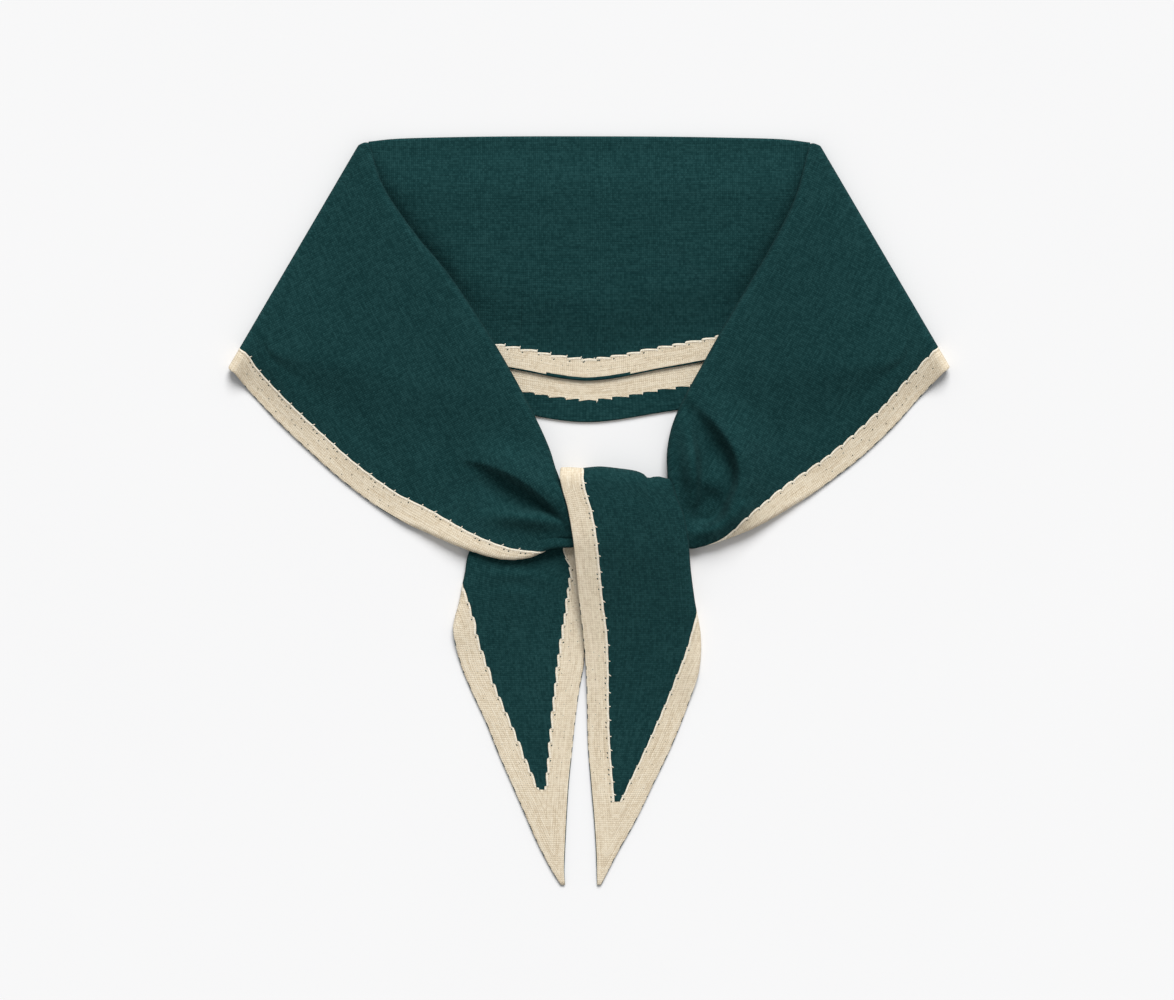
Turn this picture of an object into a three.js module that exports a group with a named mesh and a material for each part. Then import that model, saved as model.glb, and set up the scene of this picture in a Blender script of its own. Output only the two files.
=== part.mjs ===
// A knitted neckerchief scarf, lying flat on a table, tied in a loose half knot.
//
// One long cloth, dark green with a beige border, is folded lengthwise so that
// the fold is the neck edge. Behind the neck it lies as a double band. At each
// side the double cloth is turned over at a slanted edge and runs forward as a
// front. The left front crosses over the right one, wraps round it, comes up
// through the neck opening and falls as the right tail. The right front passes
// under the left one and comes out as the left tail.
//
// Millimetres. X runs across the scarf, Y from the tail tips to the neck band,
// Z up off the table. The origin is the middle of the scarf's footprint.
import * as THREE from "three";

// ---- driving sizes ----
const CLOTH = 1.4; // thickness of the double-faced knit
const GAP = 0.3; // clearance between layers and between neighbours
const HALF = CLOTH / 2;
const PLY = (CLOTH + GAP) / 2; // from the middle of a folded pair to each layer
const TURN = CLOTH + GAP; // radius of the pair's middle round a turned edge
const BAND_Z = PLY + HALF; // middle of the pair behind the neck; a front starts 2 TURN higher
const BORDER = 10.3; // width of the knitted border
const RECESS = 19; // the under layer of a front ends this far inside the upper
const TAB = 1.2; // flat end of a front, past its turned edge
const LOOSE_HEM = 1.3; // bend radius of the hem on the tail that falls over the knot
const HEM_REACH = PLY + HALF; // a turned-under edge stands this far past its fold

// ---- small tools ----
const table = (columns, ...rows) => {
  const names = columns.split(" ");
  return rows.map((r) => Object.fromEntries(names.map((n, k) => [n, r[k]])));
};
const clamp = (v, a, b) => Math.min(b, Math.max(a, v));
const ease = (a, b, v) => {
  const x = clamp((v - a) / Math.max(1e-9, b - a), 0, 1);
  return x * x * (3 - 2 * x);
};
const lerp = (a, b, t) => a + (b - a) * t;
const v3 = (x, y, z) => new THREE.Vector3(x, y, z);
// a row of the table at any position between its sections, on a smooth curve
const rowAt = (rows, u) => {
  const last = rows.length - 1;
  const i = clamp(Math.floor(u), 0, last - 1);
  const f = clamp(u, 0, last) - i;
  const [a, b, c, d] = [i - 1, i, i + 1, i + 2].map((k) => rows[clamp(k, 0, last)]);
  const out = {};
  for (const k of Object.keys(b)) {
    const m1 = i > 0 ? (c[k] - a[k]) / 2 : c[k] - b[k];
    const m2 = i + 1 < last ? (d[k] - b[k]) / 2 : c[k] - b[k];
    const f2 = f * f;
    const f3 = f2 * f;
    out[k] =
      b[k] * (2 * f3 - 3 * f2 + 1) + m1 * (f3 - 2 * f2 + f) +
      c[k] * (3 * f2 - 2 * f3) + m2 * (f3 - f2);
  }
  return out;
};
// wanted positions moved to lie between two ends, with a little room between
const ROOM = 0.3;
const fitted = (wanted, a, b) => {
  const n = wanted.length;
  const room = Math.min(ROOM, (b - a) / (n + 1));
  const out = [...wanted];
  for (let k = 0; k < n; k++) out[k] = Math.max(out[k], a + room * (k + 1), k ? out[k - 1] + room : -Infinity);
  for (let k = n - 1; k >= 0; k--) out[k] = Math.min(out[k], b - room * (n - k), k < n - 1 ? out[k + 1] - room : Infinity);
  return [a, ...out, b];
};
const steps = (a, b, n) => Array.from({ length: n + 1 }, (_, k) => lerp(a, b, k / n));

// ---- sections of the neck band, left to right: fold edge, then far rim ----
const BAND = table(
  "nx ny ox oy",
  [-100.3, 167.1, -161.0, 63.6],
  [-87.0, 171.2, -122.0, 57.9],
  [-58.0, 172.0, -76.0, 51.0],
  [-29.0, 172.3, -37.0, 45.6],
  [0.0, 172.3, -1.0, 40.8],
  [29.0, 172.2, 36.0, 45.7],
  [58.0, 171.8, 75.0, 52.0],
  [87.0, 171.0, 122.0, 59.3],
  [100.7, 165.7, 161.0, 64.0],
);

// ---- sections of each front, from the turned edge to the knot ----
// n: neck edge, o: rim (outlines in plan); nz, mz, oz: height of the pair's
// middle at the neck edge, at the under layer's rim and at the rim; start:
// where it begins to fall from the band to the table, as a share of the way
// out; roll: half the gap between the layers at the neck edge; curl: how much
// of the rim is turned under
const LEFT_FRONT = table(
  "nx ny ox oy nz mz oz start roll curl",
  [-102.1, 168.1, -162.8, 64.6, 4.95, 4.95, 4.95, 0.7, 0.85, 0],
  [-95.2, 150.0, -156.4, 55.2, 6.3, 4.6, 0.1, 0.8, 2.2, 0],
  [-81.4, 129.3, -143.1, 41.2, 6.9, 3.8, 0.0, 0.66, 2.8, 0],
  [-66.2, 110.9, -128.8, 27.6, 6.9, 2.0, 0.0, 0.5, 2.8, 0],
  [-52.4, 91.1, -113.2, 13.8, 6.8, 1.7, 0.0, 0.36, 2.8, 0],
  [-41.9, 74.1, -94.3, 0.0, 6.6, 1.8, 0.4, 0.18, 2.7, 0],
  [-33.6, 59.3, -75.4, -9.7, 6.3, 2.7, 2.6, 0.05, 2.4, 2.4],
  [-25.3, 43.2, -57.0, -17.5, 6.0, 4.6, 5.0, 0.0, 2.3, 4.6],
  [-19.8, 30.4, -40.9, -22.1, 5.8, 5.6, 5.2, 0.0, 2.3, 6.9],
  [-16.6, 19.8, -28.5, -21.6, 6.6, 6.6, 5.6, 0.0, 2.3, 8.7],
  [-12.6, 12.4, -18.9, -17.9, 7.6, 7.6, 6.6, 0.0, 2.4, 10.6],
  [-2.3, 10.2, -6.4, -16.6, 8.0, 8.0, 7.6, 0.0, 2.4, 10.6],
  [10.6, 9.2, 7.8, -16.6, 8.0, 8.0, 7.8, 0.0, 2.4, 10.6],
  [22.0, 8.6, 20.6, -16.6, 8.0, 8.0, 7.8, 0.0, 2.4, 10.6],
);
const RIGHT_FRONT = table(
  "nx ny ox oy nz mz oz start roll curl",
  [102.5, 166.7, 162.8, 65.0, 4.95, 4.95, 4.95, 0.7, 0.85, 0],
  [95.7, 145.4, 152.7, 52.9, 6.3, 4.6, 0.1, 0.8, 2.2, 0],
  [85.1, 123.7, 139.4, 38.2, 6.9, 3.6, 0.0, 0.64, 2.8, 0],
  [74.1, 104.9, 124.7, 24.4, 6.9, 2.0, 0.0, 0.43, 2.8, 0],
  [63.5, 86.9, 109.0, 12.4, 6.8, 1.7, 0.2, 0.25, 2.8, 0.6],
  [53.8, 69.5, 92.5, 1.4, 6.6, 1.9, 1.8, 0.08, 2.7, 2.6],
  [45.5, 54.3, 76.8, -7.8, 6.3, 2.4, 2.4, 0.02, 2.5, 5.8],
  [40.0, 41.9, 63.9, -13.3, 5.6, 3.2, 2.6, 0.0, 2.2, 8.9],
  [37.7, 30.4, 54.7, -16.1, 5.2, 3.9, 2.9, 0.0, 2.1, 10.5],
  [38.5, 19.8, 48.8, -17.5, 5.0, 4.4, 3.6, 0.0, 2.0, 10.6],
  [40.0, 10.2, 43.4, -17.3, 5.0, 4.8, 4.4, 0.0, 2.0, 10.6],
  [27.1, 7.6, 29.6, -16.6, 5.0, 5.0, 4.6, 0.0, 2.0, 10.6],
);

// ---- folds raised in the upper layer, each a ridge through three points ----
// wl and wr: half width to the left and right of the way from a to c, h: height
// in the middle, h0 and h1: share of it at the ends
const LEFT_FOLDS = table(
  "ax ay bx by cx cy wl wr h h0 h1",
  [-66.0, 26.5, -34.8, 17.0, -10.5, -4.4, 11.0, 4.5, 5.6, 0, 0.2],
  [-56.0, -3.0, -27.0, -3.2, -13.0, -7.0, 6.0, 6.0, 3.0, 0.05, 0.05],
);
const RIGHT_FOLDS = table(
  "ax ay bx by cx cy wl wr h h0 h1",
  [41.6, 54.0, 44.8, 27.0, 47.6, -3.0, 4.2, 4.2, 3.6, 0, 0.12],
  [50.5, 54.0, 66.8, 27.0, 67.0, 3.0, 14.0, 5.0, 6.6, 0.1, 0.6],
);

// ---- sections of the tails: l, m, r are left edge, middle and right edge ----
// curl: how much of the outer edge is turned under
const RIGHT_TAIL = table(
  "lx ly lz my mz rx ry rz curl",
  [-0.5, -18.6, 7.4, -19.4, 7.6, 36.3, -18.8, 7.4, 0],
  [-0.5, -21.3, 6.1, -22.2, 6.1, 38.2, -21.6, 6.1, 0],
  [-0.5, -22.2, 3.8, -23.3, 3.8, 39.1, -22.5, 3.8, 0],
  [-0.5, -20.6, 1.5, -21.6, 1.5, 39.1, -20.8, 1.5, 0],
  [-1.4, -8.7, 0.8, -9.2, 0.8, 39.1, -8.7, 0.8, 0],
  [-5.1, 5.1, 0.8, 5.1, 0.8, 38.6, 3.4, 0.8, 0],
  [-8.7, 12.7, 1.6, 13.9, 1.5, 37.2, 10.0, 1.6, 0],
  [-11.5, 17.5, 4.4, 19.2, 4.3, 36.6, 13.4, 4.0, 0],
  [-12.9, 19.2, 8.0, 20.9, 8.2, 36.6, 14.6, 7.2, 0],
  [-13.3, 18.0, 11.6, 19.8, 12.1, 37.6, 13.6, 10.2, 0],
  [-13.3, 14.6, 13.8, 15.8, 14.4, 39.4, 10.0, 11.4, 3.0],
  [-12.0, 9.0, 14.3, 9.0, 15.0, 41.2, 4.6, 11.6, 10.6],
  [-9.7, 1.4, 14.3, 1.4, 15.0, 43.7, -2.3, 11.4, 10.6],
  [-7.4, -12.4, 13.6, -12.4, 14.0, 45.5, -13.8, 10.4, 10.6],
  [-6.0, -26.2, 10.6, -26.2, 11.0, 46.5, -27.1, 8.4, 10.6],
  [-4.6, -40.9, 7.4, -40.9, 7.6, 48.3, -41.4, 6.0, 10.6],
  [-2.8, -57.0, 4.6, -57.5, 4.4, 51.1, -58.0, 3.4, 7.1],
  [-1.4, -73.1, 2.8, -73.6, 2.4, 50.1, -74.1, 2.5, 2.4],
  [-0.9, -89.2, 1.6, -89.2, 1.2, 45.5, -89.2, 0.9, 0],
  [-0.5, -107.6, 0.8, -107.6, 0.8, 38.2, -107.6, 0.8, 0],
  [0.9, -126.0, 0.8, -126.0, 0.8, 29.4, -126.0, 0.8, 0],
  [2.3, -142.1, 0.8, -142.1, 0.8, 21.6, -142.1, 0.8, 0],
  [3.2, -156.9, 0.8, -156.9, 0.8, 13.3, -156.9, 0.8, 0],
  [3.7, -172.0, 0.8, -172.0, 0.8, 5.5, -172.0, 0.8, 0],
);
const LEFT_TAIL = table(
  "lx ly lz mx my mz rx ry rz curl",
  [23.5, 7.6, 3.3, 22.5, -4.3, 3.4, 21.6, -16.2, 3.3, 0],
  [7.8, 6.4, 3.3, 6.9, -5.5, 3.4, 6.0, -17.2, 3.3, 0],
  [-8.7, 3.7, 3.0, -6.0, -8.7, 3.3, -1.4, -19.2, 3.2, 0],
  [-26.2, -0.5, 1.9, -16.6, -13.3, 2.2, -2.6, -22.7, 2.9, 0],
  [-43.0, -7.5, 2.7, -24.5, -19.2, 1.5, -2.8, -27.1, 2.2, 3],
  [-54.4, -17.4, 2.9, -29.0, -26.2, 2.0, -2.8, -32.7, 1.7, 9],
  [-57.4, -29.8, 2.9, -30.4, -35.6, 2.0, -2.6, -39.1, 1.4, 10.6],
  [-59.6, -41.2, 2.9, -31.3, -45.0, 1.8, -2.2, -47.8, 1.1, 8.2],
  [-62.4, -54.0, 2.6, -32.2, -56.2, 1.2, -2.0, -58.0, 0.9, 1.2],
  [-59.3, -69.5, 1.0, -30.8, -69.5, 0.8, -2.3, -69.9, 0.8, 0],
  [-53.8, -83.3, 0.8, -29.2, -83.3, 0.8, -4.6, -83.3, 0.8, 0],
  [-47.4, -97.1, 0.8, -26.9, -97.1, 0.8, -6.4, -97.1, 0.8, 0],
  [-41.9, -110.9, 0.8, -24.8, -110.9, 0.8, -7.8, -110.9, 0.8, 0],
  [-35.9, -124.7, 0.8, -22.5, -124.7, 0.8, -9.2, -124.7, 0.8, 0],
  [-29.9, -138.5, 0.8, -20.0, -138.5, 0.8, -10.1, -138.5, 0.8, 0],
  [-23.9, -152.3, 0.8, -17.4, -152.3, 0.8, -10.8, -152.3, 0.8, 0],
  [-17.5, -164.7, 0.8, -14.4, -164.7, 0.8, -11.3, -164.7, 0.8, 0],
  [-12.9, -172.0, 0.8, -12.0, -172.0, 0.8, -11.0, -172.0, 0.8, 0],
);

// ---- cloth surfaces ----
// height added by the folds at a point in plan
const CURVE_PARTS = 12;
const foldHeight = (folds, x, y) => {
  let sum = 0;
  for (const f of folds) {
    const on = (s) => {
      const [p, q, r] = [2 * (s - 0.5) * (s - 1), 4 * s * (1 - s), 2 * s * (s - 0.5)];
      return [p * f.ax + q * f.bx + r * f.cx, p * f.ay + q * f.by + r * f.cy];
    };
    let near = Infinity;
    let along = 0;
    let left = 0;
    for (let k = 0; k < CURVE_PARTS; k++) {
      const [ax, ay] = on(k / CURVE_PARTS);
      const [bx, by] = on((k + 1) / CURVE_PARTS);
      const [dx, dy] = [bx - ax, by - ay];
      const g = clamp(((x - ax) * dx + (y - ay) * dy) / (dx * dx + dy * dy), 0, 1);
      const [ex, ey] = [x - ax - g * dx, y - ay - g * dy];
      const d = Math.hypot(ex, ey);
      const side = (dx * ey - dy * ex) / Math.max(d * Math.hypot(dx, dy), 1e-9);
      if (d < near) [near, along, left] = [d, (k + g) / CURVE_PARTS, side];
    }
    const share = along < 0.5 ? lerp(f.h0, 1, ease(0, 0.5, along)) : lerp(1, f.h1, ease(0.5, 1, along));
    const width = lerp(f.wr, f.wl, ease(-1, 1, left));
    sum += f.h * share * Math.exp(-((near / width) ** 2) * 1.4);
  }
  return sum;
};

// how far a rim reaches past the point where its turned-under part begins
const reach = (curl) => HEM_REACH * Math.sin(clamp(curl / HEM_REACH, 0, Math.PI / 2));
// a turned-under edge: the cloth bends through a half turn at its fold, then
// lies back under itself, one ply below
const hem = (surface, flat, s, radius = PLY) => {
  if (s <= flat) return surface(s).p;
  const arc = Math.min((s - flat) / radius, Math.PI);
  const { p, n, out } = surface(flat - Math.max(0, s - flat - Math.PI * radius));
  return p.addScaledVector(out, radius * Math.sin(arc)).addScaledVector(n, -radius * (1 - Math.cos(arc)));
};

// the middle surface of a front: t runs from the neck edge (0) to the rim (1),
// and u from -1 to 0 goes up round the turned edge
const frontMiddle = (rows, u, t) => {
  const r = rowAt(rows, Math.max(u, 0));
  const n = v3(r.nx, r.ny, 0);
  const o = v3(r.ox, r.oy, 0);
  const way = o.clone().sub(n);
  const full = way.length();
  way.normalize();
  const roll = Math.max(r.roll, PLY);
  const curl = Math.max(r.curl, 0);
  n.addScaledVector(way, roll + HALF);
  o.addScaledVector(way, -reach(curl));
  const p = n.clone().lerp(o, t);
  if (u < 0) {
    // round the turn, then a short flat tab
    const side = Math.sign(r.ox);
    const out = v3(-way.y, way.x, 0);
    if (out.x * side < 0) out.negate();
    const a = Math.min(1, -u) * Math.PI;
    p.addScaledVector(out, TURN * Math.sin(a) - TAB * Math.max(0, -u - 1));
    p.z = BAND_Z + TURN + TURN * Math.cos(a);
    return p;
  }
  const t2 = clamp(1 - RECESS / full, 0.25, 0.95);
  p.z = r.nz + (r.mz - r.nz) * ease(r.start, t2, t) + (r.oz - r.mz) * ease(t2, 1, t);
  return p;
};
const frontLength = (rows, u) => {
  const r = rowAt(rows, Math.max(u, 0));
  const curl = Math.max(r.curl, 0);
  const flat = Math.hypot(r.ox - r.nx, r.oy - r.ny) - (Math.max(r.roll, PLY) + HALF) - reach(curl);
  return { flat, total: flat + curl };
};
const frontFrame = (rows, v, t) => {
  const e = 1e-3;
  const u = Math.min(v, rows.length - 1 - e);
  const du = frontMiddle(rows, u + e, t).sub(frontMiddle(rows, u - e, t)).normalize();
  const dt = frontMiddle(rows, u, t + e).sub(frontMiddle(rows, u, t - e)).normalize();
  const n = du.clone().cross(dt).normalize();
  // the normal points up, and round the turn away from the turn's own axis
  const away = v3(0, 0, 1);
  if (u < 0) {
    const axis = frontMiddle(rows, 0, t);
    axis.z = BAND_Z + TURN;
    away.copy(frontMiddle(rows, Math.max(u, -1), t)).sub(axis);
  }
  if (n.dot(away) < 0) n.negate();
  const out = du.clone().cross(n).normalize();
  if (out.dot(dt) < 0) out.negate();
  return { n, out };
};
const frontRoll = (rows, u, t) => {
  const r = rowAt(rows, Math.max(u, 0));
  return lerp(Math.max(r.roll, PLY), PLY, ease(0, 0.45, t));
};
// a point of the folded cloth: side +1 is the upper layer, -1 the under one,
// s is the length of cloth from the neck fold
const frontCloth = (rows, folds, u, side, s) => {
  const { flat } = frontLength(rows, u);
  const layer = (v, len) => {
    const t = clamp(len / flat, 0, 1);
    const p = frontMiddle(rows, v, t).addScaledVector(frontFrame(rows, v, t).n, side * frontRoll(rows, v, t));
    if (side > 0 && v > 0) p.z += foldHeight(folds, p.x, p.y) * ease(0, 1, v);
    return p;
  };
  const surface = (len) => {
    const dt = layer(u, len).sub(layer(u, len - 0.5)).normalize();
    const v = Math.min(u, rows.length - 1.1);
    const du = layer(v + 0.05, len).sub(layer(v - 0.05, len)).normalize();
    const n = du.clone().cross(dt).normalize();
    if (n.dot(frontFrame(rows, u, clamp(len / flat, 0, 1)).n) < 0) n.negate();
    const out = du.clone().cross(n).normalize();
    if (out.dot(dt) < 0) out.negate();
    return { p: layer(u, len), n, out };
  };
  return s > flat ? hem(surface, flat, s) : layer(u, s);
};
const frontFold = (rows, folds, u, angle) => {
  const r = rowAt(rows, Math.max(u, 0));
  const roll = Math.max(r.roll, PLY);
  const { n, out } = frontFrame(rows, u, 0);
  const p = frontMiddle(rows, u, 0)
    .addScaledVector(n, roll * Math.cos(angle))
    .addScaledVector(out, -roll * Math.sin(angle));
  if (u > 0) p.z += foldHeight(folds, p.x, p.y) * ease(0, 1, u) * Math.max(0, Math.cos(angle));
  return p;
};

// the neck band: v runs from left (0) to right (last row)
const bandCloth = (v, side, s) => {
  const r = rowAt(BAND, v);
  const n = v3(r.nx, r.ny, BAND_Z);
  const way = v3(r.ox, r.oy, BAND_Z).sub(n).normalize();
  return n.addScaledVector(way, PLY + HALF + s).addScaledVector(v3(0, 0, 1), side * PLY);
};
const bandLength = (v) => {
  const r = rowAt(BAND, v);
  return Math.hypot(r.ox - r.nx, r.oy - r.ny) - PLY - HALF;
};
const bandFold = (v, angle) => {
  const p = bandCloth(v, 0, 0);
  const way = bandCloth(v, 0, 1).sub(p);
  return p.addScaledVector(way, -PLY * Math.sin(angle)).addScaledVector(v3(0, 0, 1), PLY * Math.cos(angle));
};

// a tail: w runs from the left edge (0) to the right edge (1)
const tailPoint = (rows, u, w) => {
  const r = rowAt(rows, u);
  const mx = r.mx === undefined ? (r.lx + r.rx) / 2 : r.mx;
  const [a, b, c] = [2 * (w - 0.5) * (w - 1), 4 * w * (1 - w), 2 * w * (w - 0.5)];
  return v3(
    a * r.lx + b * mx + c * r.rx,
    a * r.ly + b * r.my + c * r.ry,
    a * r.lz + b * r.mz + c * r.rz,
  );
};
// hemSide says which edge is turned under: -1 left, 1 right; s counts from the
// other edge
const tailCloth = (rows, hemSide, u, s) => {
  const r = rowAt(rows, u);
  const curl = Math.max(r.curl, 0);
  const width = Math.hypot(r.rx - r.lx, r.ry - r.ly);
  const at = (v, w) => tailPoint(rows, v, hemSide > 0 ? w : 1 - w);
  const surface = (len) => {
    const w = len / width;
    const e = 1e-3;
    const out = at(u, w + e).sub(at(u, w - e)).normalize();
    const v = clamp(u, e, rows.length - 1 - e);
    const on = at(v + e, w).sub(at(v - e, w)).normalize();
    const n = hemSide > 0 ? on.cross(out).normalize() : out.clone().cross(on).normalize();
    return { p: at(u, w), n, out };
  };
  return hem(surface, width - reach(curl), s, hemSide > 0 ? LOOSE_HEM : PLY);
};
const tailWidth = (rows, u) => {
  const r = rowAt(rows, u);
  const curl = Math.max(r.curl, 0);
  return Math.hypot(r.rx - r.lx, r.ry - r.ly) - reach(curl) + curl;
};

// ---- thick cloth from a grid of middle points ----
// each used cell of the grid gets both faces, and a wall where its neighbour
// isn't used
const thicken = (grid, used) => {
  const rows = grid.length;
  const cols = grid[0].length;
  const normal = (i, j) => {
    const a = grid[Math.min(i + 1, rows - 1)][j].clone().sub(grid[Math.max(i - 1, 0)][j]);
    const b = grid[i][Math.min(j + 1, cols - 1)].clone().sub(grid[i][Math.max(j - 1, 0)]);
    return a.cross(b).normalize();
  };
  const position = [];
  const index = [];
  const made = new Map();
  const vertex = (i, j, side) => {
    const key = i + "," + j + "," + side;
    if (!made.has(key)) {
      const p = grid[i][j].clone().addScaledVector(normal(i, j), side * HALF);
      made.set(key, position.length / 3);
      position.push(p.x, p.y, p.z);
    }
    return made.get(key);
  };
  const quad = (a, b, c, d) => index.push(a, b, c, a, c, d);
  const has = (i, j) => i >= 0 && j >= 0 && i < rows - 1 && j < cols - 1 && used(i, j);
  for (let i = 0; i < rows - 1; i++)
    for (let j = 0; j < cols - 1; j++) {
      if (!has(i, j)) continue;
      const up = (k, l) => vertex(i + k, j + l, 1);
      const dn = (k, l) => vertex(i + k, j + l, -1);
      quad(up(0, 0), up(1, 0), up(1, 1), up(0, 1));
      quad(dn(0, 0), dn(0, 1), dn(1, 1), dn(1, 0));
      if (!has(i - 1, j)) quad(up(0, 0), up(0, 1), dn(0, 1), dn(0, 0));
      if (!has(i + 1, j)) quad(up(1, 1), up(1, 0), dn(1, 0), dn(1, 1));
      if (!has(i, j - 1)) quad(up(1, 0), up(0, 0), dn(0, 0), dn(1, 0));
      if (!has(i, j + 1)) quad(up(0, 1), up(1, 1), dn(1, 1), dn(0, 1));
    }
  const geometry = new THREE.BufferGeometry();
  geometry.setAttribute("position", new THREE.Float32BufferAttribute(position, 3));
  geometry.setIndex(index);
  // the faces point outwards
  let volume = 0;
  const at = (k) => v3().fromArray(position, index[k] * 3);
  for (let k = 0; k < index.length; k += 3) volume += at(k).dot(at(k + 1).cross(at(k + 2)));
  if (volume < 0) {
    for (let k = 0; k < index.length; k += 3)
      [index[k + 1], index[k + 2]] = [index[k + 2], index[k + 1]];
    geometry.setIndex(index);
  }
  geometry.computeVertexNormals();
  return geometry;
};

// ---- the pieces ----
const GREEN = { color: 0x1e3d3f, roughness: 0.95, metalness: 0 };
const BEIGE = { color: 0xddcdb6, roughness: 0.95, metalness: 0 };
const scarf = new THREE.Group();
const piece = (name, look, grid, used) => {
  const mesh = new THREE.Mesh(thicken(grid, used), new THREE.MeshStandardMaterial(look));
  mesh.name = name;
  scarf.add(mesh);
};

const BORDER_CELLS = 5;
const FIELD_CELLS = 9;
// cells of a border and of the field beside it, close round the hem's bend
const borderColumns = (flat, total) => {
  const inner = total - BORDER;
  if (total - flat < 0.2) return steps(inner, total, BORDER_CELLS);
  return fitted([0, 1, 2, 3].map((k) => flat + (k * Math.PI * PLY) / 3), inner, total);
};
const fieldColumns = (from, flat, total, n) => {
  const end = total - BORDER - GAP;
  const wanted = steps(from, Math.min(end, flat), n - 1).slice(1);
  return fitted(wanted, from, end);
};
const FOLD_CELLS = 4;
const UNDER_CELLS = 5;

const makeFront = (side, rows, folds) => {
  const knot = rows.length - 1;
  const us = [-2, ...steps(-1, 0, 4), ...steps(0, 5, 5).slice(1), ...steps(5, knot, 2 * (knot - 5)).slice(1)];
  const grid = us.map((u) => {
    const { flat, total } = frontLength(rows, u);
    const line = [];
    for (const s of borderColumns(flat, total).reverse()) line.push(frontCloth(rows, folds, u, 1, s));
    for (const s of fieldColumns(0, flat, total, FIELD_CELLS).reverse()) line.push(frontCloth(rows, folds, u, 1, s));
    for (const a of steps(0, Math.PI, FOLD_CELLS).slice(1, -1)) line.push(frontFold(rows, folds, u, a));
    const corner = 2 * (1 - clamp(u, 0, 1)); // the recess widens at the turned edge
    const under = Math.max(5, Math.min(total - RECESS - corner, flat - Math.max(0, total - flat - Math.PI * PLY) - 2));
    for (const s of steps(0, under, UNDER_CELLS)) line.push(frontCloth(rows, folds, u, -1, s));
    return line;
  });
  piece("wing_" + side, GREEN, grid, (i, j) => j > BORDER_CELLS);
  piece("border_wing_" + side, BEIGE, grid, (i, j) => j < BORDER_CELLS);
};

const makeBand = () => {
  const vs = steps(0, BAND.length - 1, 3 * (BAND.length - 1));
  const grid = vs.map((v) => {
    const far = bandLength(v);
    const near = far - lerp(RECESS, RECESS + 3, Math.abs(v / 4 - 1));
    const line = [];
    for (const s of steps(near, near - BORDER, 2)) line.push(bandCloth(v, 1, s));
    for (const s of steps(near - BORDER - GAP, 0, 2)) line.push(bandCloth(v, 1, s));
    for (const a of steps(0, Math.PI, FOLD_CELLS).slice(1, -1)) line.push(bandFold(v, a));
    for (const s of steps(0, far - BORDER - GAP, 2)) line.push(bandCloth(v, -1, s));
    for (const s of steps(far - BORDER, far, 2)) line.push(bandCloth(v, -1, s));
    return line;
  });
  const last = grid[0].length - 1;
  piece("neck_band", GREEN, grid, (i, j) => j > 2 && j < last - 3);
  piece("border_neck_near", BEIGE, grid, (i, j) => j < 2);
  piece("border_neck_far", GREEN, grid, (i, j) => j >= last - 2);
};

const TAIL_FIELD = 5;
const TAIL_STRIP = 2;
const makeTail = (side, rows, hemSide) => {
  const end = rows.length - 1;
  const us = steps(0, end, Math.round(end * 1.3));
  // the green field ends where the two borders meet
  const tip = us.findIndex((u) => u > end / 2 && tailWidth(rows, u) < 2 * BORDER + 1.2);
  us.splice(tip, 0, us[tip - 1] + 0.02);
  const grid = us.map((u) => {
    const total = tailWidth(rows, u);
    const flat = total - Math.max(rowAt(rows, u).curl, 0);
    const narrow = total < 2 * BORDER + 2 * GAP + 0.12 * total;
    const strip = narrow ? 0.44 * total - GAP : BORDER;
    const plain = (a, b, n) => steps(a, b, n);
    const line = [];
    for (const s of plain(0, strip, TAIL_STRIP)) line.push(tailCloth(rows, hemSide, u, s));
    const inner = narrow
      ? plain(strip + GAP, total - strip - GAP, TAIL_FIELD)
      : fieldColumns(strip + GAP, flat, total, TAIL_FIELD);
    for (const s of inner) line.push(tailCloth(rows, hemSide, u, s));
    const outer = narrow ? plain(total - strip, total, BORDER_CELLS) : borderColumns(flat, total);
    for (const s of outer) line.push(tailCloth(rows, hemSide, u, s));
    return line;
  });
  const field = (j) => j > TAIL_STRIP && j < TAIL_STRIP + 1 + TAIL_FIELD;
  const seam = (j) => j >= TAIL_STRIP && j <= TAIL_STRIP + 1 + TAIL_FIELD;
  piece("tail_" + side, GREEN, grid, (i, j) => i < tip - 1 && field(j));
  piece("border_tail_" + side, BEIGE, grid, (i, j) => i >= tip || !seam(j));
};

makeBand();
makeFront("left", LEFT_FRONT, LEFT_FOLDS);
makeFront("right", RIGHT_FRONT, RIGHT_FOLDS);
makeTail("left", LEFT_TAIL, -1);
makeTail("right", RIGHT_TAIL, 1);

// the origin is the middle of the footprint, on the table
const box = new THREE.Box3().setFromObject(scarf);
scarf.position.set(-(box.min.x + box.max.x) / 2, -(box.min.y + box.max.y) / 2, -box.min.z);
scarf.updateMatrixWorld(true);

export default scarf;
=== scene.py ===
"""A knitted neckerchief scarf with a contrast border, lying flat on a pale surface, tied in a loose half knot.

One long double-faced knit: one face is dark green with a beige border, the other beige with a green border.
Millimetres in the tables and functions, as in the CAD source; metres in the meshes.
"""

import math

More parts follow.
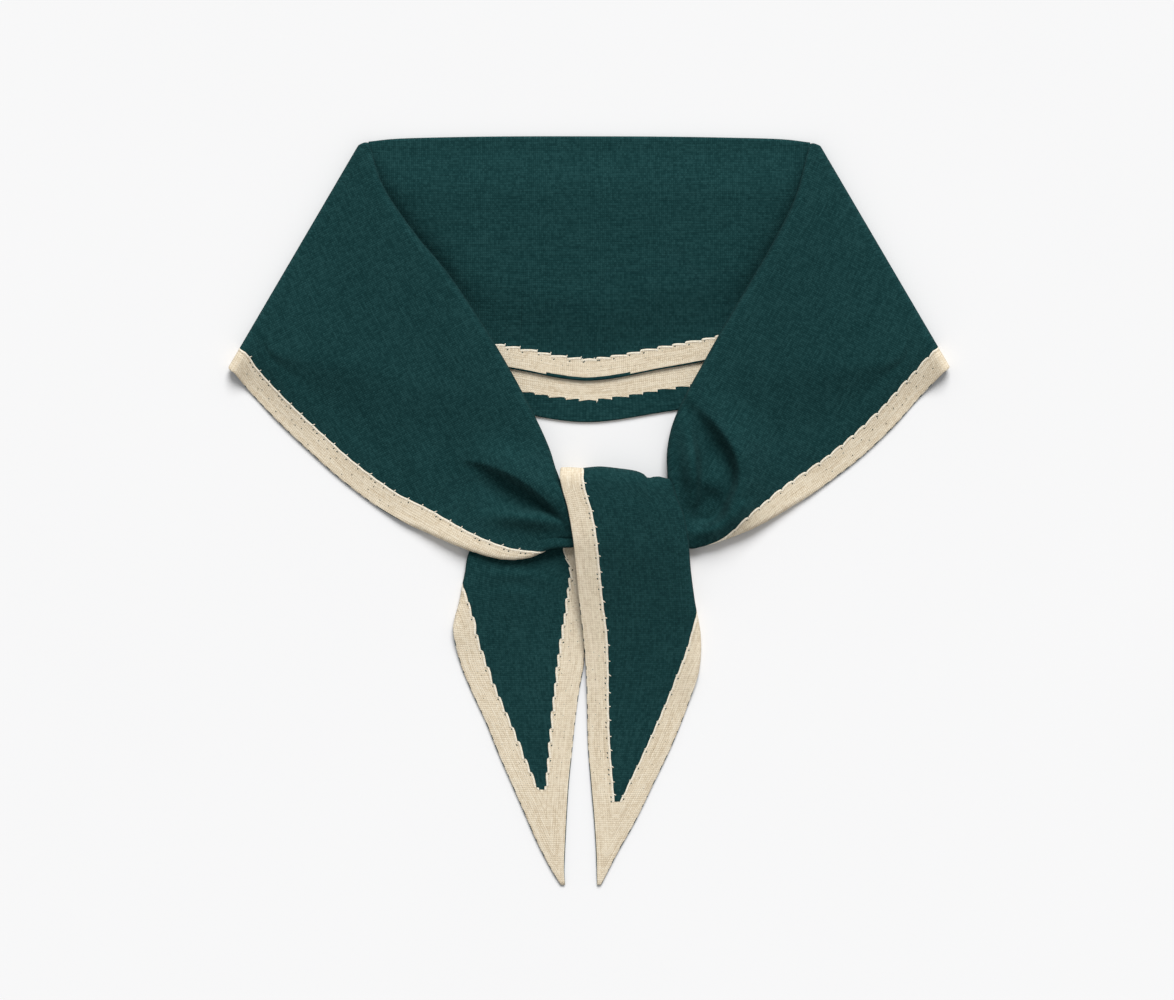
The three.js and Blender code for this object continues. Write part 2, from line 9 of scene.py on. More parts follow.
import bpy
import numpy as np
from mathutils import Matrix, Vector


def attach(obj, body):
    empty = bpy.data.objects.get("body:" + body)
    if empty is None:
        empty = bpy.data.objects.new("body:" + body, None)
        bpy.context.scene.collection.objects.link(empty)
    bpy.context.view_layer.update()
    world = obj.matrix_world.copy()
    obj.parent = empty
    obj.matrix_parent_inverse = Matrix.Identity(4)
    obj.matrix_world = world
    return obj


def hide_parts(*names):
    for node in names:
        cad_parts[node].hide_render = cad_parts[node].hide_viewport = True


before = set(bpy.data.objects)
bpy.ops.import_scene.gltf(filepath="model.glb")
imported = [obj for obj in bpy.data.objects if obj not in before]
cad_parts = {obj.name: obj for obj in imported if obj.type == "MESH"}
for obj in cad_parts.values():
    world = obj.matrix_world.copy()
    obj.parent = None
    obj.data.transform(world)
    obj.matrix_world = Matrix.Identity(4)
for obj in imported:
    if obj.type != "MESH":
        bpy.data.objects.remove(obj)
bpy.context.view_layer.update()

# ---- driving sizes ----
CLOTH = 1.4
GAP = 0.3
HALF = CLOTH / 2
PLY = (CLOTH + GAP) / 2
TURN = CLOTH + GAP
BAND_Z = PLY + HALF
BORDER = 10.3
RECESS = 19.0
TAB = 0.2
LOOSE_HEM = 1.3
HEM_REACH = PLY + HALF
SHIFT = np.array([0.0039, -0.1633, 0.0])  # the footprint's middle to the origin
STEP_LONG = 7.0  # length of a step in the knitted edge between the colours
STEP_HIGH = 0.95
BEAD = 0.2  # how far the light cord along the seam stands up

# ---- sections, as in the CAD source ----


def table(columns, *rows):
    return {n: np.array([r[k] for r in rows], float) for k, n in enumerate(columns.split())}


BAND = table(
    "nx ny ox oy",
    [-100.8, 169.8, -161.0, 63.6],
    [-87.0, 171.2, -122.0, 57.9],
    [-58.0, 172.0, -76.0, 51.0],
    [-29.0, 172.3, -37.0, 45.6],
    [0.0, 172.3, -1.0, 40.8],
    [29.0, 172.2, 36.0, 45.7],
    [58.0, 171.8, 75.0, 52.0],
    [87.0, 171.0, 122.0, 59.3],
    [101.1, 169.4, 161.0, 64.0],
)
LEFT_FRONT = table(
    "nx ny ox oy nz mz oz start roll curl show",
    [-101.5, 169.4, -163.4, 63.65, 4.95, 4.95, 4.95, 0.7, 0.85, 0, 10.3],
    [-95.2, 150.0, -156.4, 55.2, 6.3, 4.6, 0.1, 0.8, 2.2, 0, 10.3],
    [-81.4, 129.3, -143.1, 41.2, 6.9, 3.8, 0.0, 0.66, 2.8, 0, 10.3],
    [-66.2, 110.9, -128.8, 27.6, 6.9, 2.0, 0.0, 0.5, 2.8, 0, 10.3],
    [-52.4, 91.1, -113.2, 13.8, 6.8, 1.7, 0.0, 0.36, 2.8, 0, 10.3],
    [-41.9, 74.1, -94.3, 0.0, 6.6, 1.8, 0.4, 0.18, 2.7, 0, 10.3],
    [-33.6, 59.3, -75.4, -9.7, 6.3, 2.7, 2.6, 0.05, 2.4, 2.4, 8.6],
    [-25.3, 43.2, -57.0, -17.5, 6.0, 4.6, 5.0, 0.0, 2.3, 4.6, 6.4],
    [-19.8, 30.4, -40.9, -22.1, 5.8, 5.6, 5.2, 0.0, 2.3, 6.9, 4.7],
    [-16.6, 19.8, -28.5, -21.6, 6.6, 6.6, 5.6, 0.0, 2.3, 8.7, 2.0],
    [-12.6, 12.4, -18.9, -17.9, 7.6, 7.6, 6.6, 0.0, 2.4, 10.6, -2.0],
    [-2.3, 10.2, -6.4, -16.6, 8.0, 8.0, 7.6, 0.0, 2.4, 10.6, -2.0],
    [10.6, 9.2, 7.8, -16.6, 8.0, 8.0, 7.8, 0.0, 2.4, 10.6, -2.0],
    [22.0, 8.6, 20.6, -16.6, 8.0, 8.0, 7.8, 0.0, 2.4, 10.6, -2.0],
)
RIGHT_FRONT = table(
    "nx ny ox oy nz mz oz start roll curl show",
    [101.9, 169.0, 163.4, 64.0, 4.95, 4.95, 4.95, 0.7, 0.85, 0, 10.3],
    [95.7, 145.4, 152.7, 52.9, 6.3, 4.6, 0.1, 0.8, 2.2, 0, 10.3],
    [85.1, 123.7, 139.4, 38.2, 6.9, 3.6, 0.0, 0.64, 2.8, 0, 10.3],
    [74.1, 104.9, 124.7, 24.4, 6.9, 2.0, 0.0, 0.43, 2.8, 0, 10.3],
    [63.5, 86.9, 109.0, 12.4, 6.8, 1.7, 0.2, 0.25, 2.8, 0.6, 9.6],
    [53.8, 69.5, 92.5, 1.4, 6.6, 1.9, 1.8, 0.08, 2.7, 2.6, 8.1],
    [45.5, 54.3, 76.8, -7.8, 6.3, 2.4, 2.4, 0.02, 2.5, 5.8, 5.6],
    [40.0, 41.9, 63.9, -13.3, 5.6, 3.2, 2.6, 0.0, 2.2, 8.9, 1.0],
    [37.7, 30.4, 54.7, -16.1, 5.2, 3.9, 2.9, 0.0, 2.1, 10.5, -0.7],
    [37.8, 19.8, 48.8, -17.5, 5.0, 4.4, 3.6, 0.0, 2.0, 10.6, -2.0],
    [38.4, 10.6, 43.4, -17.3, 5.0, 4.8, 4.4, 0.0, 2.0, 10.6, -2.0],
    [27.1, 7.6, 29.6, -16.6, 5.0, 5.0, 4.6, 0.0, 2.0, 10.6, -2.0],
)
# Ridges and hollows. Each runs through three points, a to c; wl and wr: how far it spreads to the left and to the
# right of that way; h: height; h0, h1: shares of it at the two ends. FOLDS lift or press the upper layer; DIPS sink the pair.
FOLD_COLUMNS = "ax ay bx by cx cy wl wr h h0 h1"
LEFT_FOLDS = table(
    FOLD_COLUMNS,
    [-63.0, 24.5, -34.0, 16.2, -8.5, -6.0, 12.0, 2.4, 7.4, 0, 0.42],
    [-56.0, -3.5, -25.0, -2.8, -9.0, -10.0, 3.0, 5.4, 5.6, 0.05, 0.35],
    [-22.0, -16.2, -14.0, -14.8, -7.0, -14.0, 2.4, 2.4, -3.6, 0.1, 1.0],
    [-98.0, 48.0, -80.0, 22.0, -66.0, 4.0, 12.0, 8.0, 1.0, 0, 0],
)
LEFT_DIPS = table(
    FOLD_COLUMNS,
    [-56.0, 12.5, -36.5, 8.6, -10.0, -8.4, 4.8, 6.4, 4.6, 0.1, 0.6],
)
RIGHT_FOLDS = table(
    FOLD_COLUMNS,
    [41.0, 50.0, 47.8, 21.0, 45.6, -5.0, 2.8, 5.6, 5.6, 0, 0.15],
    [47.0, 52.0, 68.0, 26.0, 66.0, 3.0, 14.0, 3.4, 9.6, 0.1, 0.7],
    [46.8, -9.4, 58.0, -7.6, 69.5, 1.6, 2.6, 6.0, 6.2, 0.4, 0.4],
    [104.0, 40.0, 90.0, 26.0, 82.0, 8.0, 9.0, 9.0, 0.8, 0, 0],
    [49.0, 16.0, 57.0, 13.0, 65.0, 8.0, 12.0, 5.5, 3.6, 0.5, 0.4],
)
RIGHT_DIPS = table(
    FOLD_COLUMNS,
    [46.5, 46.0, 58.5, 23.0, 56.0, 0.0, 4.6, 4.6, 4.4, 0.1, 1.0],
    [50.0, -2.8, 55.0, -1.0, 62.0, 4.0, 6.0, 2.6, 6.0, 1.0, 0.4],
)
DROP_FOLDS = table(
    FOLD_COLUMNS,
    [33.0, 14.6, 39.4, 8.6, 44.4, -8.0, 1.3, 1.5, -1.0, 0.3, 0.1],
    [24.0, 14.0, 25.0, 6.0, 26.0, -8.0, 4.0, 4.0, 0.6, 0.8, 0],
    [10.0, -16.0, 22.0, -20.0, 34.0, -30.0, 6.0, 7.0, 0.5, 0, 0],
)
LEFT_TAIL_FOLDS = table(
    FOLD_COLUMNS,
    [-54.0, -33.0, -34.0, -29.0, -14.0, -34.0, 2.6, 3.4, 0.9, 0, 0.2],
    [-50.0, -41.0, -34.0, -37.5, -20.0, -42.0, 2.6, 3.4, 0.5, 0, 0],
    [-26.0, -50.0, -24.0, -70.0, -22.0, -92.0, 5.0, 5.0, 0.4, 0, 0],
)
# how far the falling tail's top edge sits below its sections, against X
TOP_EDGE = table("x sag", [-14, -0.4], [-3, 1.8], [5, 1.4], [13, 1.8], [21, 1.6], [24.5, 2.0], [27, 3.8], [29, 2.4], [32, 1.2], [35, 0.8], [39, 0])
RIGHT_TAIL = table(
    "lx ly lz my mz rx ry rz curl free show",
    [-0.5, -18.6, 7.4, -19.4, 7.6, 36.3, -18.8, 7.4, 0, 10.3, -2.9],
    [-0.5, -21.3, 6.1, -22.2, 6.1, 38.2, -21.6, 6.1, 0, 10.3, -2.9],
    [-0.5, -22.2, 3.8, -23.3, 3.8, 39.1, -22.5, 3.8, 0, 10.3, -2.9],
    [-0.5, -20.6, 1.5, -21.6, 1.5, 39.1, -20.8, 1.5, 0, 10.3, -2.9],
    [-1.4, -8.7, 0.8, -9.2, 0.8, 39.1, -8.7, 0.8, 0, 10.3, -2.9],
    [-5.1, 5.1, 0.8, 5.1, 0.8, 38.6, 3.4, 0.8, 0, 10.3, -2.9],
    [-8.7, 12.7, 1.6, 13.9, 1.5, 37.2, 10.0, 1.6, 0, 10.3, -2.9],
    [-11.5, 17.5, 4.4, 19.2, 4.3, 36.6, 13.4, 4.0, 0, 10.6, -2.9],
    [-12.9, 19.2, 8.0, 20.9, 8.2, 36.6, 14.6, 7.2, 0, 10.6, -2.9],
    [-13.3, 18.0, 11.6, 19.8, 12.1, 37.6, 13.6, 10.2, 0, 11.0, -2.9],
    [-13.3, 14.6, 13.8, 15.8, 14.4, 39.4, 10.0, 11.4, 3.0, 11.0, -2.9],
    [-12.0, 9.0, 14.3, 9.0, 15.0, 41.2, 4.6, 11.6, 10.6, 11.0, -2.9],
    [-9.7, 1.4, 14.3, 1.4, 15.0, 43.7, -2.3, 11.4, 10.6, 11.0, -2.9],
    [-7.4, -12.4, 13.6, -12.4, 14.0, 45.5, -13.8, 10.4, 10.6, 11.0, -2.9],
    [-6.0, -26.2, 10.6, -26.2, 11.0, 46.5, -27.1, 8.4, 10.6, 11.0, -2.9],
    [-4.6, -40.9, 7.4, -40.9, 7.6, 48.3, -41.4, 6.0, 10.6, 11.0, -2.9],
    [-2.8, -57.0, 4.6, -57.5, 4.4, 51.1, -58.0, 3.4, 7.1, 11.2, 3.1],
    [-1.4, -73.1, 2.8, -73.6, 2.4, 50.1, -74.1, 2.5, 2.4, 10.4, 7.6],
    [-0.9, -89.2, 1.6, -89.2, 1.2, 45.5, -89.2, 0.9, 0, 10.0, 10.6],
    [-0.5, -107.6, 0.8, -107.6, 0.8, 38.2, -107.6, 0.8, 0, 10.2, 11.5],
    [0.9, -126.0, 0.8, -126.0, 0.8, 29.4, -126.0, 0.8, 0, 10.2, 11.5],
    [2.3, -142.1, 0.8, -142.1, 0.8, 21.6, -142.1, 0.8, 0, 10.2, 11.5],
    [3.2, -156.9, 0.8, -156.9, 0.8, 13.3, -156.9, 0.8, 0, 10.2, 11.5],
    [3.7, -172.0, 0.8, -172.0, 0.8, 5.5, -172.0, 0.8, 0, 10.2, 11.5],
)
LEFT_TAIL = table(
    "lx ly lz mx my mz rx ry rz curl free show",
    [23.5, 7.6, 3.3, 22.5, -4.3, 3.4, 21.6, -16.2, 3.3, 0, 10.3, -2.9],
    [7.8, 6.4, 3.3, 6.9, -5.5, 3.4, 6.0, -17.2, 3.3, 0, 10.3, -2.9],
    [-8.7, 3.7, 3.0, -6.0, -8.7, 3.3, -1.4, -19.2, 3.2, 0, 10.3, -2.9],
    [-26.2, -0.5, 1.9, -16.6, -13.3, 2.2, -2.6, -22.7, 2.9, 0, 9.8, -2.9],
    [-43.0, -7.5, 2.7, -24.5, -19.2, 1.5, -2.8, -27.1, 2.2, 3, 6.0, -2.9],
    [-54.4, -17.4, 2.9, -29.0, -26.2, 2.0, -2.8, -32.7, 1.7, 9, 6.3, -2.9],
    [-57.4, -29.8, 2.9, -30.4, -35.6, 2.0, -2.6, -39.1, 1.4, 10.6, 7.4, -2.4],
    [-59.6, -41.2, 2.9, -31.3, -45.0, 1.8, -2.2, -47.8, 1.1, 8.2, 8.8, 2.9],
    [-62.4, -54.0, 2.6, -32.2, -56.2, 1.2, -2.0, -58.0, 0.9, 1.2, 10.8, 9.6],
    [-59.3, -69.5, 1.0, -30.8, -69.5, 0.8, -2.3, -69.9, 0.8, 0, 12.2, 11.9],
    [-53.8, -83.3, 0.8, -29.2, -83.3, 0.8, -4.6, -83.3, 0.8, 0, 11.4, 11.6],
    [-47.4, -97.1, 0.8, -26.9, -97.1, 0.8, -6.4, -97.1, 0.8, 0, 11.0, 11.3],
    [-41.9, -110.9, 0.8, -24.8, -110.9, 0.8, -7.8, -110.9, 0.8, 0, 10.8, 11.4],
    [-35.9, -124.7, 0.8, -22.5, -124.7, 0.8, -9.2, -124.7, 0.8, 0, 10.6, 11.2],
    [-29.9, -138.5, 0.8, -20.0, -138.5, 0.8, -10.1, -138.5, 0.8, 0, 10.6, 11.0],
    [-23.9, -152.3, 0.8, -17.4, -152.3, 0.8, -10.8, -152.3, 0.8, 0, 10.6, 11.0],
    [-17.5, -164.7, 0.8, -14.4, -164.7, 0.8, -11.3, -164.7, 0.8, 0, 10.6, 11.0],
    [-12.9, -172.0, 0.8, -12.0, -172.0, 0.8, -11.0, -172.0, 0.8, 0, 10.6, 11.0],
)


# ---- small tools: the last axis of a point array is x, y, z ----
def vec(x, y, z):
    x, y, z = np.broadcast_arrays(*(np.asarray(k, float) for k in (x, y, z)))
    return np.stack([x, y, z], -1)


def dot(a, b):
    return (a * b).sum(-1)


def unit(a):
    return a / np.maximum(np.linalg.norm(a, axis=-1, keepdims=True), 1e-12)


def facing(a, b):
    """a, turned round where it points away from b."""
    return np.where(dot(a, b)[..., None] < 0, -a, a)


def ease(a, b, v):
    x = np.clip((v - a) / np.maximum(1e-9, b - a), 0, 1)
    return x * x * (3 - 2 * x)


def lerp(a, b, t):
    return a + (b - a) * t


def sections(rows):
    return len(next(iter(rows.values())))


def row_at(rows, u):
    """The rows of a table at any position between its sections, on a smooth curve."""
    u = np.asarray(u, float)
    last = sections(rows) - 1
    i = np.clip(np.floor(u), 0, last - 1).astype(int)
    f = np.clip(u, 0, last) - i
    f2, f3 = f * f, f * f * f
    out = {}
    for name, c in rows.items():
        a, b, d, e = c[np.maximum(i - 1, 0)], c[i], c[i + 1], c[np.minimum(i + 2, last)]
        m1 = np.where(i > 0, (d - a) / 2, d - b)
        m2 = np.where(i + 1 < last, (e - b) / 2, d - b)
        out[name] = b * (2 * f3 - 3 * f2 + 1) + m1 * (f3 - 2 * f2 + f) + d * (3 * f2 - 2 * f3) + m2 * (f3 - f2)
    return out


def fold_height(folds, x, y, parts=16):
    """Height that ridges add at a point in plan."""
    total = np.zeros(np.broadcast(x, y).shape)
    for k in range(sections(folds)):
        f = {n: c[k] for n, c in folds.items()}

        def on(s):
            p, q, r = 2 * (s - 0.5) * (s - 1), 4 * s * (1 - s), 2 * s * (s - 0.5)
            return p * f["ax"] + q * f["bx"] + r * f["cx"], p * f["ay"] + q * f["by"] + r * f["cy"]

        near, along, left = np.full(total.shape, np.inf), np.zeros(total.shape), np.zeros(total.shape)
        for m in range(parts):
            (ax, ay), (bx, by) = on(m / parts), on((m + 1) / parts)
            dx, dy = bx - ax, by - ay
            g = np.clip(((x - ax) * dx + (y - ay) * dy) / (dx * dx + dy * dy), 0, 1)
            ex, ey = x - ax - g * dx, y - ay - g * dy
            d = np.hypot(ex, ey)
            side = (dx * ey - dy * ex) / np.maximum(d * math.hypot(dx, dy), 1e-9)
            along = np.where(d < near, (m + g) / parts, along)
            left = np.where(d < near, side, left)
            near = np.minimum(d, near)
        share = np.where(along < 0.5, lerp(f["h0"], 1, ease(0, 0.5, along)), lerp(1, f["h1"], ease(0.5, 1, along)))
        width = lerp(f["wr"], f["wl"], ease(-1, 1, left))
        total = total + f["h"] * share * np.exp(-((near / width) ** 2) * 1.4)
    return total


def reach(curl):
    return HEM_REACH * np.sin(np.clip(curl / HEM_REACH, 0, math.pi / 2))


def hem(surface, flat, s, radius):
    """A turned-under edge: a half turn at its fold, then back under itself, one ply below."""
    arc = np.clip((s - flat) / radius, 0, math.pi)[..., None]
    p, n, out = surface(np.where(s > flat, flat - np.maximum(0, s - flat - math.pi * radius), s))
    bent = p + out * radius * np.sin(arc) - n * radius * (1 - np.cos(arc))
    return np.where((s > flat)[..., None], bent, p)


# ---- the fronts ----
def relief_of(rows, folds, u, t, p, side, roll):
    """How far folds and dips move a layer of a front up or down, straight, at a point in plan."""
    lift = ease(0, 1, u)
    r = row_at(rows, np.maximum(u, 0))
    t2 = np.clip(1 - RECESS / np.hypot(r["ox"] - r["nx"], r["oy"] - r["ny"]), 0.25, 0.95)
    dips = LEFT_DIPS if rows is LEFT_FRONT else RIGHT_DIPS
    floor = HALF + 0.15 + (0 if side < 0 else 2 * PLY) * (1 - ease(t2, 1, t))
    room = np.maximum(0, p[..., 2] - floor)
    dip = fold_height(dips, p[..., 0], p[..., 1]) * lift
    move = -room * (1 - np.exp(-dip / np.maximum(room, 0.05)))
    if side > 0:
        fold = fold_height(folds, p[..., 0], p[..., 1]) * lift
        move = move + np.maximum(fold, PLY - roll)
    return move


def front_middle(rows, u, t):
    u, t = np.broadcast_arrays(np.asarray(u, float), np.asarray(t, float))
    r = row_at(rows, np.maximum(u, 0))
    n, o = vec(r["nx"], r["ny"], 0), vec(r["ox"], r["oy"], 0)
    full = np.linalg.norm(o - n, axis=-1)
    way = (o - n) / full[..., None]
    roll, curl = np.maximum(r["roll"], PLY), np.maximum(r["curl"], 0)
    n = n + way * (roll + HALF)[..., None]
    o = o - way * reach(curl)[..., None]
    p = lerp(n, o, t[..., None])
    t2 = np.clip(1 - RECESS / full, 0.25, 0.95)
    z = r["nz"] + (r["mz"] - r["nz"]) * ease(r["start"], t2, t) + (r["oz"] - r["mz"]) * ease(t2, 1, t)
    # round the turn, then a short flat tab
    out = vec(-way[..., 1], way[..., 0], 0)
    out = np.where((out[..., 0] * np.sign(rows["ox"][0]))[..., None] < 0, -out, out)
    a = np.minimum(1, -u) * math.pi
    turned = p + out * (TURN * np.sin(a) - TAB * np.maximum(0, -u - 1))[..., None] + way * (2.3 * np.sin(a) * (1 - t))[..., None]
    p = np.where((u < 0)[..., None], turned, p)
    p[..., 2] = np.where(u < 0, BAND_Z + TURN + TURN * np.cos(a), z)
    return p


def front_length(rows, u):
    r = row_at(rows, np.maximum(u, 0))
    curl = np.maximum(r["curl"], 0)
    flat = np.hypot(r["ox"] - r["nx"], r["oy"] - r["ny"]) - (np.maximum(r["roll"], PLY) + HALF) - reach(curl)
    return flat, flat + curl


def front_frame(rows, v, t):
    e = 1e-3
    u, t = np.broadcast_arrays(np.minimum(v, sections(rows) - 1 - e), t)
    du = unit(front_middle(rows, u + e, t) - front_middle(rows, u - e, t))
    dt = unit(front_middle(rows, u, t + e) - front_middle(rows, u, t - e))
    n = unit(np.cross(du, dt))
    axis = front_middle(rows, np.zeros_like(u), t)
    axis[..., 2] = BAND_Z + TURN
    away = np.where((u < 0)[..., None], front_middle(rows, np.maximum(u, -1), t) - axis, np.array([0, 0, 1.0]))
    n = facing(n, away)
    out = facing(unit(np.cross(du, n)), dt)
    return n, out


def front_roll(rows, u, t):
    r = row_at(rows, np.maximum(u, 0))
    return lerp(np.maximum(r["roll"], PLY), PLY, ease(0, 0.45, t))


def front_cloth(rows, folds, u, side, s):
    """A point of the folded cloth: side 1 is the upper layer, -1 the under one; s counts from the neck fold."""
    u, s = np.broadcast_arrays(np.asarray(u, float), np.asarray(s, float))
    flat, _ = front_length(rows, u)

    def layer(v, length):
        t = np.clip(length / flat, 0, 1)
        roll = front_roll(rows, v, t)
        p = front_middle(rows, v, t) + front_frame(rows, v, t)[0] * (side * roll)[..., None]
        p[..., 2] += relief_of(rows, folds, v, t, p, side, roll)
        return p

    def surface(length):
        dt = unit(layer(u, length) - layer(u, length - 0.5))
        v = np.minimum(u, sections(rows) - 1.1)
        du = unit(layer(v + 0.05, length) - layer(v - 0.05, length))
        n = facing(unit(np.cross(du, dt)), front_frame(rows, u, np.clip(length / flat, 0, 1))[0])
        out = facing(unit(np.cross(du, n)), dt)
        return layer(u, length), n, out

    return hem(surface, flat, s, PLY)


def front_fold(rows, folds, u, angle):
    u, angle = np.broadcast_arrays(np.asarray(u, float), np.asarray(angle, float))
    roll = np.maximum(row_at(rows, np.maximum(u, 0))["roll"], PLY)[..., None]
    n, out = front_frame(rows, u, np.zeros_like(u))
    p = front_middle(rows, u, np.zeros_like(u)) + n * roll * np.cos(angle)[..., None] - out * roll * np.sin(angle)[..., None]
    # between the two layers' own moves
    zero, high = np.zeros_like(u), roll[..., 0]
    upper, under = p + 0, p + 0
    upper[..., 2] += high * (1 - np.cos(angle))
    under[..., 2] -= high * (1 + np.cos(angle))
    up, dn = relief_of(rows, folds, u, zero, upper, 1, high), relief_of(rows, folds, u, zero, under, -1, high)
    p[..., 2] += lerp(dn, up, (1 + np.cos(angle)) / 2)
    return p


# ---- the neck band ----
def band_cloth(v, side, s):
    r = row_at(BAND, v)
    n = vec(r["nx"], r["ny"], BAND_Z)
    way = unit(vec(r["ox"], r["oy"], BAND_Z) - n)
    return n + way * (PLY + HALF + np.asarray(s, float))[..., None] + np.array([0, 0, side * PLY])


def band_length(v):
    r = row_at(BAND, v)
    return np.hypot(r["ox"] - r["nx"], r["oy"] - r["ny"]) - PLY - HALF


def band_fold(v, angle):
    v, angle = np.broadcast_arrays(v, angle)
    p = band_cloth(v, 0, np.zeros(v.shape))
    way = band_cloth(v, 0, np.ones(v.shape)) - p
    return p - way * (PLY * np.sin(angle))[..., None] + vec(0, 0, PLY * np.cos(angle))


SWELL = 4.6  # how far the band's upper layer stands up between the fronts
SWELL_NEAR = 4.4  # how soon it rises beside a front's neck edge


def band_swell(p, s, seam):
    """Height of the band's upper layer over its flat lie: pressed flat beside the fronts, and at both of its edges."""
    share = ease(0, 26, s) * ease(0, 30, seam - s)
    for rows, side in ((LEFT_FRONT, 1), (RIGHT_FRONT, -1)):
        r = row_at(rows, np.linspace(0, 8, 160))
        edge = np.stack([r["nx"], r["ny"]], 1)
        way = unit(np.gradient(edge, axis=0))
        near, away = np.full(p.shape[:-1], np.inf), np.zeros(p.shape[:-1])
        for (ex, ey), (wx, wy) in zip(edge, way):
            dx, dy = p[..., 0] - ex, p[..., 1] - ey
            d = np.hypot(dx, dy)
            across = side * (wx * dy - wy * dx)
            away = np.where(d < near, np.where(across > 0, d, 0), away)
            near = np.minimum(d, near)
        share = share * (1 - np.exp(-away / SWELL_NEAR))
    return SWELL * share


# ---- the tails ----
def top_edge(p):
    """Lowers the top edge of the falling tail in plan, both where it rises and where it falls."""
    p[..., 1] -= np.interp(p[..., 0], TOP_EDGE["x"], TOP_EDGE["sag"]) * ease(-14, 4, p[..., 1])
    return p


def tail_point(rows, u, w):
    r = row_at(rows, u)
    mx = r["mx"] if "mx" in r else (r["lx"] + r["rx"]) / 2
    a, b, c = 2 * (w - 0.5) * (w - 1), 4 * w * (1 - w), 2 * w * (w - 0.5)
    return vec(a * r["lx"] + b * mx + c * r["rx"], a * r["ly"] + b * r["my"] + c * r["ry"], a * r["lz"] + b * r["mz"] + c * r["rz"])


def tail_width(rows, u):
    r = row_at(rows, u)
    curl = np.maximum(r["curl"], 0)
    return np.hypot(r["rx"] - r["lx"], r["ry"] - r["ly"]) - reach(curl) + curl


def tail_cloth(rows, hem_side, u, s, relief=None):
    u, s = np.broadcast_arrays(np.asarray(u, float), np.asarray(s, float))
    r = row_at(rows, u)
    width = np.hypot(r["rx"] - r["lx"], r["ry"] - r["ly"])

    def at(v, w):
        p = tail_point(rows, v, w if hem_side > 0 else 1 - w)
        if relief is not None:
            p[..., 2] += fold_height(relief[0], p[..., 0], p[..., 1]) * ease(relief[1], relief[1] + 1, v)
        if hem_side > 0:
            p = top_edge(p)
        return p

    def surface(length):
        w, e = length / width, 1e-3
        out = unit(at(u, w + e) - at(u, w - e))
        v = np.clip(u, e, sections(rows) - 1 - e)
        on = unit(at(v + e, w) - at(v - e, w))
        n = unit(np.cross(on, out) if hem_side > 0 else np.cross(out, on))
        return at(u, w), n, out

    return hem(surface, width - reach(np.maximum(r["curl"], 0)), s, LOOSE_HEM if hem_side > 0 else PLY)


# ---- meshes of thick cloth ----
GREEN, BEIGE = 0, 1
MATERIALS = []


def normals_of(grid):
    a = np.empty_like(grid)
    a[1:-1], a[0], a[-1] = grid[2:] - grid[:-2], grid[1] - grid[0], grid[-1] - grid[-2]
    b = np.empty_like(grid)
    b[:, 1:-1], b[:, 0], b[:, -1] = grid[:, 2:] - grid[:, :-2], grid[:, 1] - grid[:, 0], grid[:, -1] - grid[:, -2]
    return unit(np.cross(a, b))


def softened(n, times=3):
    """Normals averaged with their neighbours, so that a thick cloth doesn't fold into itself in a tight hollow."""
    for _ in range(times):
        n = unit(n + np.roll(n, 1, 0) * (np.arange(len(n)) > 0)[:, None, None] + np.roll(n, -1, 0) * (np.arange(len(n)) < len(n) - 1)[:, None, None])
        count = n.shape[1]
        n = unit(n + np.roll(n, 1, 1) * (np.arange(count) > 0)[None, :, None] + np.roll(n, -1, 1) * (np.arange(count) < count - 1)[None, :, None])
    return n


